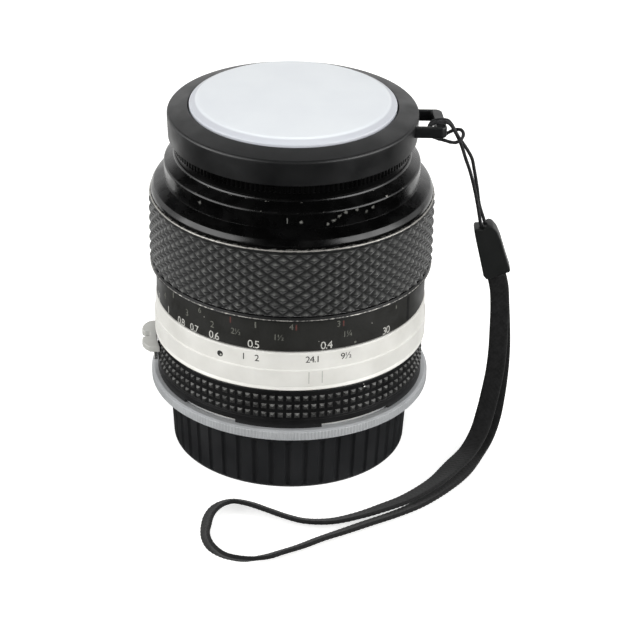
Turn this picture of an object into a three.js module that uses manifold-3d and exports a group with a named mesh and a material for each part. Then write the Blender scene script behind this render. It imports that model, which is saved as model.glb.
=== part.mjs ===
// Prime camera lens with its rear cap, mount adapter ring and a tethered front cap.
// Millimetres. The optical axis is +Z and the lens stands on the flat underside of its rear cap, at z = 0.
// An azimuth is an angle in degrees about +Z, measured from the -Y side towards +X.
import * as THREE from "three";
import { mergeVertices } from "three/addons/utils/BufferGeometryUtils.js";
import Module from "manifold-3d";

const wasm = await Module();
wasm.setup();

// Clearances
const gap = 0.3;
const bayonetGap = 0.4;

// Sides of the round pieces
const outerSides = 36;
const tubeSides = 28;
const glassSides = 18;
const screwSides = 8;

// Rear cap
const rearCapHeight = 15.5;
const rearCapWall = 1.9;
const rearCapFloor = 2;
const rearCapTaper = 0.9;
const rearCapEdge = 0.4;
const rearCapTabReach = 1.1;
const rearCapTabThickness = 1.6;
const rearCapTabAngle = 40;

// Lens mount, from the throat outwards
const throatRadius = 20.4;
const mountTubeWall = 2;
const mountTubeDepth = 4.5;
const mountClawReach = 1.3;
const mountClawThickness = 1.8;
const clawAngle = 50;
const clawCount = 3;
const mountFlangeThickness = 1.9;
const mountFlangeRim = 2.2;

// Mount adapter ring
const adapterThickness = 2.3;
const adapterRim = 4.4;
const adapterEdge = 0.2;
const adapterTubeWall = 1;
const adapterTubeDepth = 4.8;
const adapterClawReach = 1;
const adapterClawThickness = 1.4;

// Mount screws
const mountScrewCount = 3;
const mountScrewShank = 0.6;
const mountScrewHead = 1.1;
const mountScrewHeadHeight = 0.9;
const mountScrewAzimuth = 40;

// Focusing tubes, from the inside outwards
const opticalBore = 22.6;
const opticalWall = 2.6;
const opticalFlange = 1;
const guideWall = 1;
const guideFootWidth = 1.7;
const guideFootHeight = 1.4;
const helicoidWall = 1.2;
const helicoidFlangeReach = 2;
const helicoidFlangeThickness = 1.2;
const focusSeatWall = 2.7;
const scaleWall = 3.15;
const keyWidth = 3;
const keyHeight = 8;
const keyThickness = 0.8;
const keyDrop = 3.8;
const keyGrooveDepth = 1.2;
const focusTravel = 27.5;

// Outer rings, from the rear
const apertureRingHeight = 7.6;
const apertureRingWall = 2.7;
const apertureWindows = [
  { azimuth: -36.6, angle: 27.2 },
  { azimuth: 30.5, angle: 33 },
  { azimuth: 170, angle: 40 },
];
const indexHeight = 9.7;
const indexWall = 3.5;
const indexStep = 0.3;
const indexStepHeight = 5.3;
const indexEdge = 0.2;
const indexWebThickness = 1.2;
const scaleHeight = 8.4;
const gripLip = 0.7;
const gripBand = 16.1;
const gripThickness = 1.7;
const gripProud = 0.15;
const gripColumns = 120;
const gripRows = 12;
const gripMargin = 0.35;
const gripDepth = 0.6;
const gripEdge = 0.25;

// Coupling prong on the aperture ring
const prongAzimuth = -86.5;
const prongReach = 3.4;
const prongHalfWidth = 6.6;
const prongThickness = 1.4;
const prongDrop = 1.7;
const prongSlotHalf = 1.1;
const prongSlotDepth = 2;
const prongPlateAngle = 14;
const prongPlateHeight = 4.8;
const prongPlateThickness = 0.8;
const prongScrewSpread = 2.4;
const prongScrewShank = 0.4;
const prongScrewHead = 0.75;
const prongScrewHeadHeight = 0.5;

// Front barrel
const shoulderStep = 0.55;
const shoulderHeight = 4.2;
const neckHeight = 2.9;
const frontChamfer = 1.8;
const neckWall = 3.4;
const frontLip = 1.1;
const ledgeWidth = 1.1;
const ledgeHeight = 1.6;
const threadDepth = 3.8;
const threadHeight = 0.6;
const nameRingHeight = 1.4;
const nameRingFlat = 4.9;
const nameRingWall = 0.8;

// Optical cells and iris
const webDrop = 23;
const webThickness = 1.3;
const webBore = 16;
const irisRadius = 19;
const irisWall = 0.8;
const irisPlate = 0.8;
const bladeCount = 6;
const bladeThickness = 0.3;
const bladeMargin = 0.9;
const bladeOffset = 1.3;
const bladeWidth = 5.6;
const bladeOpen = 0.6;
const bladeLobe = 1.8;
const bladeAngle = 140;
const camRingThickness = 0.7;
const camRingWidth = 7.7;
const camSlotLength = 4;
const camSlotWidth = 1.2;
const cellFlange = 1;
const frontCellWall = 2.3;
const frontCellHeight = 7.9;
const frontGlassRadius = 12.4;
const frontGlassSeat = 4.1;
const secondGlassStep = 0.9;
const secondGlassSeat = 1.3;
const rearCellWall = 2.3;
const rearCellDepth = 12;
const rearGlassRadius = 11.6;
const rearSeatDepth = 7.6;
const rearSeatThickness = 1.2;
const glassSeatWidth = 1.1;
const retainerHeight = 1.2;
const retainerWidth = 1.2;
const frontGlassBulge = 1.6;
const frontGlassHollow = 0.5;
const secondGlassHollow = 0.4;
const thirdGlassHollow = 0.7;
const thirdGlassBulge = 0.3;
const rearGlassBulge = 0.6;

// Rear opening
const leverInset = 2.2;
const leverThickness = 0.8;
const leverTabAngle = 10;
const leverTabThickness = 1.2;
const leverTabInset = 1.1;
const leverReach = 3.6;
const leverAzimuth = 100;
const leverSwing = 20;
const baffleThickness = 1;
const cutOverrun = 1;
const baffleLength = 26;
const baffleWidth = 18;
const baffleDrop = 0.8;

// Front cap
const capTubeDepth = 3.2;
const capTubeWall = 1.5;
const capBandReach = 1.3;
const capBandHeight = 4;
const capWallReach = 1.1;
const capWallHeight = 5.7;
const capWallFlare = 0.25;
const capWallThickness = 1.8;
const capTopSlope = 1.6;
const capTopThickness = 1.1;
const domeInset = 5.05;
const domeRise = 2.1;
const domeEdgeRise = 1.55;
const domeBevel = 1.9;
const domeThickness = 1.7;
const domeSeat = 1.3;

// Strap lug moulded on the cap ring
const lugReach = 5.95;
const lugFront = -8.4;
const lugBack = 2.3;
const lugArm = 1.1;
const lugBar = 2.2;
const lugTaper = 0.9;
const lugHeight = 2.7;

// Tether cord, sleeve and wrist strap
const cordDiameter = 0.8;
const cordSides = 8;
const cordSteps = 92;
const cordRoute = [
  [43.4, -4.4, 58.2],
  [42.65, -4.45, 62],
  [41.65, -4.5, 66.5],
  [40.4, -4.7, 71],
  [39.2, -5, 74.4],
  [38.3, -5.3, 77.2],
  [37.6, -5.6, 79],
  [36.9, -5.9, 80.5],
  [36.25, -6.15, 81.75],
  [35.6, -6.35, 82.9],
  [34.85, -6.45, 83.6],
  [33.9, -6.5, 83.85],
  [32.6, -6.5, 83.8],
  [31.22, -6.5, 83.23],
  [30.65, -6.5, 81.85],
  [31.22, -6.5, 80.45],
  [32.6, -6.5, 79.75],
  [34.2, -6.75, 79.45],
  [35.6, -7.05, 79.15],
  [36.8, -7.2, 79.2],
  [37.95, -6.7, 79.8],
  [38.45, -5.3, 80.45],
  [37.95, -3.85, 80.8],
  [36.7, -3.15, 80.5],
  [35.3, -3.35, 79.95],
  [34, -4.2, 79.6],
  [32.6, -5, 79.8],
  [31.22, -5.2, 80.47],
  [30.65, -5.2, 81.85],
  [31.22, -5.2, 83.23],
  [32.6, -5.2, 83.8],
  [33.9, -5.15, 83.85],
  [34.85, -5.1, 83.6],
  [35.55, -5, 82.85],
  [36.3, -4.8, 81.5],
  [37, -4.6, 80.1],
  [37.75, -4.4, 78.8],
  [38.7, -4.1, 77.4],
  [39.7, -3.9, 75.8],
  [40.8, -3.6, 73.6],
  [41.45, -3.4, 70.8],
  [42.3, -3.3, 66.5],
  [43.05, -3.35, 62],
  [44.3, -3.5, 58.3],
];

const sleeveDepth = 4.2;
const sleeveBevel = 0.5;
const sleeveMiddle = -4;
const sleeveOutline = [
  [45.4, 57.9],
  [46.2, 57.7],
  [47.3, 56.4],
  [48.3, 54.2],
  [49.3, 51],
  [50.3, 48],
  [50.9, 46.4],
  [50.6, 45.8],
  [49.6, 45.6],
  [46.6, 44.1],
  [45.4, 43.9],
  [44.7, 44.8],
  [43.7, 49],
  [42.6, 53.6],
  [42, 56.3],
  [42.3, 56.9],
  [43.2, 56.9],
  [44, 56.7],
  [44.6, 57.4],
];

const strapWidth = 4.4;
const strapThickness = 1;
const strapCorner = 0.25;
const strapSteps = 84;
// Each row: x, y, z of the band's middle, then the azimuth-like turn and the lean of its width, in degrees
// (turn 0 points the width along +X, 90 along +Y; a positive lean lifts that end).
const strapRoute = [
  [47.9, -4.7, 44.2, 0, 17],
  [48.6, -4.7, 41, 0, 8],
  [49, -4.7, 36, 0, 0],
  [49.1, -4.7, 30.5, 0, 0],
  [49.1, -4.7, 24.5, 0, 0],
  [48.7, -4.9, 18.6, -2, 0],
  [47.9, -5.6, 13.6, -6, 0],
  [46.8, -7.4, 9, -12, 0],
  [45.3, -10.3, 5.4, -20, 0],
  [42.7, -14.8, 3, -28, 0],
  [38.7, -21.15, 2.5, -36, 0],
  [34.3, -28.14, 2.45, -38, 12],
  [27.35, -35.59, 2.4, -48, 15],
  [22.25, -38.95, 2.2, -61, 17],
  [16.2, -41.95, 1.75, -69, 22],
  [9.9, -44.09, 1.5, -79, 24],
  [4, -44.29, 1.6, -98, 27],
  [-0.4, -42.59, 1.7, -116, 31],
  [-4.8, -39.94, 1.72, -119, 32],
  [-9.1, -37.6, 1.8, -110, 30],
  [-12.6, -36.91, 1.9, -81, 29],
  [-15.2, -38.43, 2, -40, 30],
  [-17, -41.8, 2.3, -18, 39],
  [-17.9, -45.5, 2.4, -6, 52],
  [-18.1, -50, 2.5, 5, 63],
  [-17.5, -54.4, 2.6, 20, 90],
  [-15.6, -58, 2.6, 40, 116],
  [-12.9, -60.3, 2.5, 68, 134],
  [-9, -61, 2.3, 97, 140],
  [-4.8, -59.7, 2, 118, 150],
  [-1, -57.2, 1.7, 123, 148],
  [3.2, -54.81, 1.72, 123, 149],
  [7.5, -51.67, 1.66, 125, 150],
  [12.3, -48.64, 1.6, 123, 153],
  [18.35, -44.72, 1.55, 123, 155],
  [24.35, -40.9, 1.5, 126, 156],
  [29.7, -36.68, 1.42, 135, 158],
  [35.45, -29.92, 1.25, 144, 164],
  [40.6, -21.8, 0.95, 152, 172],
  [44.4, -13.2, 1.2, 160, 180],
  [46.8, -8.9, 3.2, 166, 180],
  [48.5, -5.9, 7, 172, 180],
  [49.4, -4.2, 12, 176, 180],
  [49.9, -3.5, 18, 180, 180],
  [50, -3.3, 24, 180, 180],
  [49.7, -3.3, 30, 180, 180],
  [49.2, -3.3, 36, 180, 180],
  [48.7, -3.3, 41, 180, 188],
  [47.9, -3.3, 44.2, 180, 197],
];

// Radii that follow from the walls above
const mountTubeRadius = throatRadius + mountTubeWall;
const mountClawRadius = mountTubeRadius + mountClawReach;
const adapterBore = mountTubeRadius + bayonetGap;
const adapterTubeBore = mountClawRadius + bayonetGap;
const adapterTubeRadius = adapterTubeBore + adapterTubeWall;
const adapterClawRadius = adapterTubeRadius + adapterClawReach;
const rearCapBore = adapterClawRadius + bayonetGap;
const rearCapRadius = rearCapBore + rearCapWall;
const rearCapFoot = rearCapRadius - rearCapTaper;
const adapterRadius = rearCapRadius + adapterRim;
const opticalRadius = opticalBore + opticalWall;
const guideBore = opticalRadius + gap;
const guideRadius = guideBore + guideWall;
const guideFootRadius = guideRadius + guideFootWidth;
const mountFlangeRadius = guideFootRadius + mountFlangeRim;
const helicoidBore = guideRadius + gap;
const helicoidRadius = helicoidBore + helicoidWall;
const helicoidFlangeRadius = helicoidRadius + helicoidFlangeReach;
const focusBore = helicoidRadius + gap;
const focusSeatRadius = focusBore + focusSeatWall;
const scaleRadius = focusBore + scaleWall;
const gripRadius = focusSeatRadius + gap + gripThickness;
const apertureBore = guideFootRadius + bayonetGap;
const apertureRadius = apertureBore + apertureRingWall;
const indexBore = helicoidRadius + bayonetGap;
const indexRadius = indexBore + indexWall;
const ledgeBore = opticalRadius + gap;
const chamberRadius = ledgeBore + ledgeWidth;
const threadRadius = chamberRadius - threadHeight;
const neckRadius = threadRadius + neckWall;
const shoulderRadius = gripRadius - shoulderStep;
const frontCellRadius = frontGlassRadius + gap + frontCellWall;
const secondGlassRadius = frontGlassRadius - secondGlassStep;
const rearCellRadius = rearGlassRadius + gap + rearCellWall;
const irisBore = irisRadius - irisWall;
const bladePivot = irisBore - bladeMargin - bladeLobe;
const bladeOuter = bladePivot - bladeOffset;
const bladeInner = bladeOuter - bladeWidth;
const irisOpening = bladeInner + bladeOpen;
const camRingRadius = irisBore - gap;
const camRingBore = camRingRadius - camRingWidth;
const capTubeRadius = threadRadius - gap;
const capBandRadius = threadRadius + capBandReach;
const capWallFoot = capBandRadius + capWallReach;
const capRimRadius = capWallFoot + capWallFlare;
const domeHole = capRimRadius - domeInset + gap;
const domeRadius = capRimRadius - domeInset;

// Heights that follow from the pieces stacked below
const adapterBase = rearCapHeight + gap;
const adapterTop = adapterBase + adapterThickness;
const flangeTop = adapterTop + mountFlangeThickness;
const apertureBase = flangeTop + gap;
const apertureTop = apertureBase + apertureRingHeight;
const indexBase = apertureTop + gap;
const indexTop = indexBase + indexHeight;
const focusBase = indexTop + gap;
const lipBase = focusBase + scaleHeight;
const gripBase = lipBase + gripLip;
const gripTop = gripBase + gripBand;
const focusTop = gripTop + gripLip;
const barrelBase = focusTop + gap;
const ledgeTop = barrelBase + ledgeHeight;
const opticalTop = ledgeTop + opticalFlange;
const neckBase = barrelBase + shoulderHeight;
const neckTop = neckBase + neckHeight;
const barrelTop = neckTop + frontChamfer;
const guideTop = focusTop - gap;
const opticalBase = flangeTop + 1;
const bandBase = barrelTop + gap;
const capBase = bandBase + capBandHeight;
const capRimTop = capBase + capWallHeight;
const capTop = capRimTop + capTopSlope;
const keyTop = guideTop - keyDrop;
const prongTop = apertureTop - prongDrop;
const webBase = opticalTop - webDrop;
const webTop = webBase + webThickness;
const bladeStack = bladeCount * (bladeThickness + gap) + irisPlate;
const camRingBase = webTop + bladeStack + gap;
const irisTop = camRingBase + camRingThickness + gap;
const frontCellTop = irisTop + cellFlange + frontCellHeight;

// The material of one piece: its colour, roughness and metalness.
function finish(color, roughness, metalness) {
  return new THREE.MeshStandardMaterial({ color, roughness, metalness });
}

const blackPaint = [0x121212, 0.3, 0.4];
const blackSatin = [0x1b1b1c, 0.5, 0.4];
const blackPlastic = [0x1d1e1f, 0.6, 0];
const blackRubber = [0x2b2c2d, 0.85, 0];
const satinChrome = [0xd8d8d4, 0.3, 1];
const brass = [0xb08d4c, 0.4, 1];
const steel = [0xb4b6b8, 0.3, 1];
const bladeSteel = [0x3a3a3c, 0.45, 0.9];
const coatedGlass = [0x8fa6b8, 0.03, 0];
const domePlastic = [0xe9eef4, 0.35, 0];
const webbing = [0x141414, 0.9, 0];

const lens = new THREE.Group();

// Adds one named piece to a body's group.
function add(group, name, geometry, look) {
  const mesh = new THREE.Mesh(geometry, finish(...look));
  mesh.name = name;
  group.add(mesh);
  return mesh;
}

// Turns a geometry's faces outwards where its profile ran the other way.
function outward(geometry) {
  const flat = geometry.index ? geometry.toNonIndexed() : geometry;
  const at = flat.attributes.position;
  const a = new THREE.Vector3();
  const b = new THREE.Vector3();
  const c = new THREE.Vector3();
  let volume = 0;
  for (let i = 0; i < at.count; i += 3) {
    a.fromBufferAttribute(at, i);
    b.fromBufferAttribute(at, i + 1);
    c.fromBufferAttribute(at, i + 2);
    volume += a.dot(b.cross(c));
  }
  if (volume > 0) return geometry;
  const order = geometry.index.array;
  for (let i = 0; i < order.length; i += 3) {
    [order[i + 1], order[i + 2]] = [order[i + 2], order[i + 1]];
  }
  return geometry;
}

// A round piece from its [radius, height] profile.
// A hollow one closes on itself, a full one runs axis to axis.
function turned(profile, sides) {
  const points = profile.map(([r, z]) => new THREE.Vector2(r, z));
  const full = profile[0][0] === 0;
  if (!full) points.push(points[0].clone());
  return outward(new THREE.LatheGeometry(points, sides).rotateX(Math.PI / 2));
}

// A plain ring of rectangular section.
function plainRing(bore, radius, low, high, sides) {
  const profile = [
    [bore, low],
    [radius, low],
    [radius, high],
    [bore, high],
  ];
  return turned(profile, sides);
}

// The point at an azimuth and radius.
function around(azimuth, radius) {
  const a = THREE.MathUtils.degToRad(azimuth);
  return new THREE.Vector2(radius * Math.sin(a), -radius * Math.cos(a));
}

// An upright prism on a closed outline.
function prism(outline, low, high) {
  const options = { depth: high - low, bevelEnabled: false, steps: 1 };
  return new THREE.ExtrudeGeometry(new THREE.Shape(outline), options).translate(0, 0, low);
}

// Part of a ring between two azimuths.
function sector(bore, radius, low, high, centre, width, steps = 6) {
  const outline = [];
  for (let i = 0; i <= steps; i += 1) {
    outline.push(around(centre + width * (i / steps - 0.5), radius));
  }
  for (let i = steps; i >= 0; i -= 1) {
    outline.push(around(centre + width * (i / steps - 0.5), bore));
  }
  return prism(outline, low, high);
}

// An upright round post.
function post(radius, low, high, at, sides) {
  const shape = new THREE.CylinderGeometry(radius, radius, high - low, sides);
  return shape.rotateX(Math.PI / 2).translate(at.x, at.y, (low + high) / 2);
}

// A closed body from its points and triangles.
function closedMesh(positions, faces) {
  const geometry = new THREE.BufferGeometry();
  geometry.setAttribute("position", new THREE.Float32BufferAttribute(positions, 3));
  geometry.setIndex(faces);
  geometry.computeVertexNormals();
  return outward(geometry);
}

function solidOf(geometry) {
  const bare = geometry.clone();
  bare.deleteAttribute("normal");
  bare.deleteAttribute("uv");
  const merged = mergeVertices(bare, 1e-4);
  const mesh = new wasm.Mesh({
    numProp: 3,
    vertProperties: merged.attributes.position.array,
    triVerts: Uint32Array.from(merged.index.array),
  });
  return new wasm.Manifold(mesh);
}

function geometryOf(solid) {
  const mesh = solid.getMesh();
  const geometry = new THREE.BufferGeometry();
  geometry.setAttribute("position", new THREE.BufferAttribute(mesh.vertProperties, 3));
  geometry.setIndex(new THREE.BufferAttribute(mesh.triVerts, 1));
  geometry.computeVertexNormals();
  return geometry;
}

// A piece with others joined on and others cut away.
function worked(base, joined, cut) {
  let solid = solidOf(base);
  for (const geometry of joined) solid = solid.add(solidOf(geometry));
  for (const geometry of cut) solid = solid.subtract(solidOf(geometry));
  return geometryOf(solid);
}

// The azimuths of evenly spaced copies.
function spaced(count, first = 0) {
  return Array.from({ length: count }, (_, i) => first + (360 * i) / count);
}

function rearCap() {
  const profile = [
    [0, 0],
    [rearCapFoot - rearCapEdge, 0],
    [rearCapFoot, rearCapEdge],
    [rearCapRadius, rearCapHeight - rearCapEdge],
    [rearCapRadius - rearCapEdge, rearCapHeight],
    [rearCapBore, rearCapHeight],
    [rearCapBore, rearCapFloor],
    [0, rearCapFloor],
  ];
  const tabTop = adapterBase - rearCapTabThickness + gap;
  const tabs = spaced(clawCount).map((azimuth) =>
    sector(
      rearCapBore - rearCapTabReach,
      rearCapBore + gap,
      tabTop - rearCapTabThickness + gap,
      tabTop,
      azimuth,
      rearCapTabAngle,
    ),
  );
  return worked(turned(profile, outerSides), tabs, []);
}

function mountAdapterRing() {
  const profile = [
    [adapterTubeRadius, adapterBase - adapterTubeDepth],
    [adapterTubeRadius, adapterBase],
    [adapterRadius - adapterEdge, adapterBase],
    [adapterRadius, adapterBase + adapterEdge],
    [adapterRadius, adapterTop - adapterEdge],
    [adapterRadius - adapterEdge, adapterTop],
    [adapterBore, adapterTop],
    [adapterBore, adapterBase],
    [adapterTubeBore, adapterBase],
    [adapterTubeBore, adapterBase - adapterTubeDepth],
  ];
  const clawLow = adapterBase - adapterTubeDepth;
  const claws = spaced(clawCount).map((azimuth) =>
    sector(
      adapterTubeRadius - gap,
      adapterClawRadius,
      clawLow,
      clawLow + adapterClawThickness,
      azimuth,
      clawAngle,
    ),
  );
  return worked(turned(profile, outerSides), claws, []);
}

const mountScrewCircle = (guideBore + guideFootRadius) / 2;
const mountScrewSeat = adapterTop + gap + mountScrewHeadHeight;

function mountScrewHoles() {
  return spaced(mountScrewCount, mountScrewAzimuth).flatMap((azimuth) => {
    const at = around(azimuth, mountScrewCircle);
    const top = flangeTop + guideFootHeight;
    return [
      post(mountScrewHead + gap, adapterTop - cutOverrun, mountScrewSeat + gap, at, screwSides),
      post(mountScrewShank + gap, adapterTop - cutOverrun, top + cutOverrun, at, screwSides),
    ];
  });
}

function bayonetMount() {
  const low = adapterTop - mountTubeDepth;
  const profile = [
    [throatRadius, low],
    [mountTubeRadius, low],
    [mountTubeRadius, adapterTop],
    [mountFlangeRadius, adapterTop],
    [mountFlangeRadius, flangeTop],
    [throatRadius, flangeTop],
  ];
  const clawTop = adapterBase - gap;
  const claws = spaced(clawCount, 180 / clawCount).map((azimuth) =>
    sector(
      mountTubeRadius - gap,
      mountClawRadius,
      Math.max(low, clawTop - mountClawThickness),
      clawTop,
      azimuth,
      clawAngle,
    ),
  );
  return worked(turned(profile, outerSides), claws, mountScrewHoles());
}

function mountScrew(azimuth) {
  const head = mountScrewSeat - mountScrewHeadHeight;
  const profile = [
    [0, head],
    [mountScrewHead, head],
    [mountScrewHead, mountScrewSeat],
    [mountScrewShank, mountScrewSeat],
    [mountScrewShank, flangeTop + guideFootHeight],
    [0, flangeTop + guideFootHeight],
  ];
  const at = around(azimuth, mountScrewCircle);
  return turned(profile, screwSides).translate(at.x, at.y, 0);
}

function guideTube() {
  const profile = [
    [guideBore, flangeTop],
    [guideFootRadius, flangeTop],
    [guideFootRadius, flangeTop + guideFootHeight],
    [guideRadius, flangeTop + guideFootHeight],
    [guideRadius, guideTop],
    [guideBore, guideTop],
  ];
  return worked(turned(profile, tubeSides), [], mountScrewHoles());
}

// The straight key that keeps the optical barrel from turning, inside the guide tube at its back.
function guideKey() {
  const key = new THREE.BoxGeometry(keyWidth, keyThickness, keyHeight);
  const flatBore = guideBore * Math.cos(Math.PI / tubeSides);
  return key.translate(0, flatBore - gap - keyThickness / 2, keyTop - keyHeight / 2);
}

function keyGroove() {
  const high = keyTop + gap;
  const low = keyTop - keyHeight - focusTravel - gap;
  const size = [keyWidth + 2 * gap, 2 * keyGrooveDepth, high - low];
  const groove = new THREE.BoxGeometry(...size);
  return groove.translate(0, opticalRadius, (low + high) / 2);
}

function indexBarrel() {
  const profile = [
    [helicoidBore, indexBase],
    [indexRadius - indexEdge, indexBase],
    [indexRadius, indexBase + indexEdge],
    [indexRadius, indexBase + indexStepHeight],
    [indexRadius - indexStep, indexBase + indexStepHeight],
    [indexRadius - indexStep, indexTop],
    [indexBore, indexTop],
    [indexBore, indexBase + indexWebThickness],
    [helicoidBore, indexBase + indexWebThickness],
  ];
  return turned(profile, outerSides);
}

function apertureRing() {
  const skirtBase = adapterTop + gap;
  const skirtBore = mountFlangeRadius + gap;
  const profile = [
    [skirtBore, skirtBase],
    [apertureRadius, skirtBase],
    [apertureRadius, apertureTop],
    [apertureBore, apertureTop],
    [apertureBore, apertureBase],
    [skirtBore, apertureBase],
  ];
  const cutRadius = apertureRadius + cutOverrun;
  const cutBase = skirtBase - cutOverrun;
  const windows = apertureWindows.map(({ azimuth, angle }) =>
    sector(mountFlangeRadius, cutRadius, cutBase, apertureBase, azimuth, angle),
  );
  return worked(turned(profile, outerSides), [], windows);
}

const prongFoot = apertureRadius + gap;

// Turns a piece built with its outward side along +X to the prong's azimuth.
function toProng(geometry) {
  return geometry.rotateZ(THREE.MathUtils.degToRad(prongAzimuth - 90));
}

function couplingProng() {
  const tip = prongFoot + prongReach;
  const slot = tip - prongSlotDepth;
  const side = [
    [Math.sqrt(prongFoot ** 2 - prongHalfWidth ** 2), prongHalfWidth],
    [prongFoot + 0.3 * prongReach, prongHalfWidth],
    [prongFoot + 0.75 * prongReach, 0.8 * prongHalfWidth],
    [tip, 0.5 * prongHalfWidth],
    [tip - 0.2, prongSlotHalf + 0.4],
    [slot, prongSlotHalf],
  ];
  const middle = [
    [prongFoot, 0],
    [Math.sqrt(prongFoot ** 2 - (prongHalfWidth / 2) ** 2), -prongHalfWidth / 2],
  ];
  const other = side.map(([x, y]) => [x, -y]).reverse();
  const upper = [
    [Math.sqrt(prongFoot ** 2 - (prongHalfWidth / 2) ** 2), prongHalfWidth / 2],
  ];
  const loop = [...upper, ...side, ...other, middle[1], middle[0]];
  const outline = loop.map(([x, y]) => new THREE.Vector2(x, y));
  const fork = toProng(prism(outline, prongTop - prongThickness, prongTop));
  const plate = sector(
    prongFoot,
    prongFoot + prongPlateThickness,
    prongTop - prongPlateHeight,
    prongTop,
    prongAzimuth,
    prongPlateAngle,
  );
  const holes = [-1, 1].map((side_) => prongScrewAt(side_, post(
    prongScrewShank + gap,
    -1,
    3,
    new THREE.Vector2(),
    screwSides,
  )));
  return worked(plate, [fork], holes);
}

// Places a piece built on the Z axis as a radial screw beside the prong's middle.
function prongScrewAt(side, geometry) {
  geometry.rotateY(Math.PI / 2);
  const height = prongTop - prongThickness - prongScrewHead - 2 * gap;
  return toProng(geometry.translate(prongFoot, side * prongScrewSpread, height));
}

function prongScrew(side) {
  const seat = prongPlateThickness + gap;
  const profile = [
    [0, 0],
    [prongScrewShank, 0],
    [prongScrewShank, seat],
    [prongScrewHead, seat],
    [prongScrewHead, seat + prongScrewHeadHeight],
    [0, seat + prongScrewHeadHeight],
  ];
  return prongScrewAt(side, turned(profile, screwSides));
}

const leverRadius = throatRadius - gap;
const leverBase = flangeTop - leverThickness - baffleDrop + gap;
const baffleTop = leverBase - gap;

// The stop-down lever: a flat carrier ring in the throat with one tab that reaches out of the rear.
function stopDownLever() {
  const ring = plainRing(
    leverRadius - leverInset,
    leverRadius,
    leverBase,
    leverBase + leverThickness,
    tubeSides,
  );
  const tabRadius = leverRadius - leverTabInset + leverTabThickness / 2;
  const tab = sector(
    tabRadius - leverTabThickness,
    tabRadius,
    adapterTop - mountTubeDepth - leverReach,
    leverBase + leverThickness,
    leverAzimuth,
    leverTabAngle,
    3,
  );
  return worked(ring, [tab], []);
}

function rearBaffle() {
  const low = baffleTop - baffleThickness;
  const profile = [
    [0, low],
    [leverRadius, low],
    [leverRadius, baffleTop],
    [0, baffleTop],
  ];
  const opening = new THREE.BoxGeometry(baffleLength, baffleWidth, 4 * baffleThickness);
  opening.translate(0, 0, baffleTop);
  const slotMiddle = leverRadius - leverTabInset;
  const slotHalf = leverTabThickness / 2 + gap;
  const slot = sector(
    slotMiddle - slotHalf,
    slotMiddle + slotHalf,
    low - cutOverrun,
    baffleTop + cutOverrun,
    leverAzimuth + leverSwing / 2,
    leverTabAngle + leverSwing + 4,
  );
  return worked(turned(profile, tubeSides), [], [opening, slot]);
}

function opticalBarrel() {
  const flangeRadius = chamberRadius - gap;
  const profile = [
    [opticalRadius, opticalBase],
    [opticalRadius, ledgeTop],
    [flangeRadius, ledgeTop],
    [flangeRadius, opticalTop],
    [opticalBore, opticalTop],
    [opticalBore, webTop],
    [webBore, webTop],
    [webBore, webBase],
    [opticalBore, webBase],
    [opticalBore, opticalBase],
  ];
  return worked(turned(profile, tubeSides), [], [keyGroove()]);
}

function frontBarrel() {
  const flare = shoulderRadius - neckRadius;
  const profile = [
    [shoulderRadius, barrelBase],
    [shoulderRadius - 0.1 * flare, barrelBase + 0.24 * shoulderHeight],
    [shoulderRadius - 0.45 * flare, barrelBase + 0.58 * shoulderHeight],
    [shoulderRadius - 0.82 * flare, barrelBase + 0.86 * shoulderHeight],
    [neckRadius, neckBase],
    [neckRadius, neckTop],
    [threadRadius + frontLip, barrelTop],
    [threadRadius, barrelTop],
    [threadRadius, barrelTop - threadDepth],
    [chamberRadius, barrelTop - threadDepth],
    [chamberRadius, ledgeTop],
    [ledgeBore, ledgeTop],
    [ledgeBore, barrelBase],
  ];
  return turned(profile, outerSides);
}

// The stepped cone inside the front of the barrel, from the filter thread down to the front cell.
function nameRing() {
  const inner = frontCellRadius + gap;
  const mouth = chamberRadius - nameRingFlat;
  const profile = [
    [chamberRadius - gap, opticalTop],
    [chamberRadius - gap, opticalTop + nameRingHeight],
    [mouth, opticalTop + nameRingHeight],
    [inner, frontCellTop + nameRingWall],
    [inner + nameRingWall, frontCellTop],
    [opticalBore - gap, opticalTop],
  ];
  return turned(profile, tubeSides);
}

// A glass element with flat rims; a positive sag bulges outwards, a negative one is hollow.
function glass(radius, low, high, sagLow, sagHigh) {
  const clear = radius - retainerWidth - gap;
  const rings = [0, 0.55];
  const fall = (share) => 1 - share ** 2;
  const under = rings.map((share) => [share * clear, low - sagLow * fall(share)]);
  const over = rings.map((share) => [share * clear, high + sagHigh * fall(share)]).reverse();
  const rim = [
    [clear, low],
    [radius, low],
    [radius, high],
    [clear, high],
  ];
  return turned([...under, ...rim, ...over], glassSides);
}

const frontCellBase = irisTop;
const secondSeat = frontCellBase + secondGlassSeat;
const frontSeat = frontCellBase + frontGlassSeat;
const secondGlassThickness = 1.6;
const frontGlassThickness = 1.8;

function frontCell() {
  const profile = [
    [secondGlassRadius - glassSeatWidth, frontCellBase],
    [irisRadius, frontCellBase],
    [irisRadius, frontCellBase + cellFlange],
    [frontCellRadius, frontCellBase + cellFlange],
    [frontCellRadius, frontCellTop],
    [frontGlassRadius + gap, frontCellTop],
    [frontGlassRadius + gap, frontSeat],
    [secondGlassRadius + gap, frontSeat],
    [secondGlassRadius + gap, secondSeat],
    [secondGlassRadius - glassSeatWidth, secondSeat],
  ];
  return turned(profile, tubeSides);
}

// A threaded ring that holds a glass element against its seat.
function retainer(radius, low, height) {
  return plainRing(radius - retainerWidth, radius, low, low + height, glassSides);
}

const rearCellTop = webBase;
const rearSeatTop = rearCellTop - rearSeatDepth;
const rearSeatBase = rearSeatTop - rearSeatThickness;
const rearCellBase = rearCellTop - cellFlange - rearCellDepth;
const doubletThickness = 1.7;
const rearGlassThickness = 2;

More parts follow.
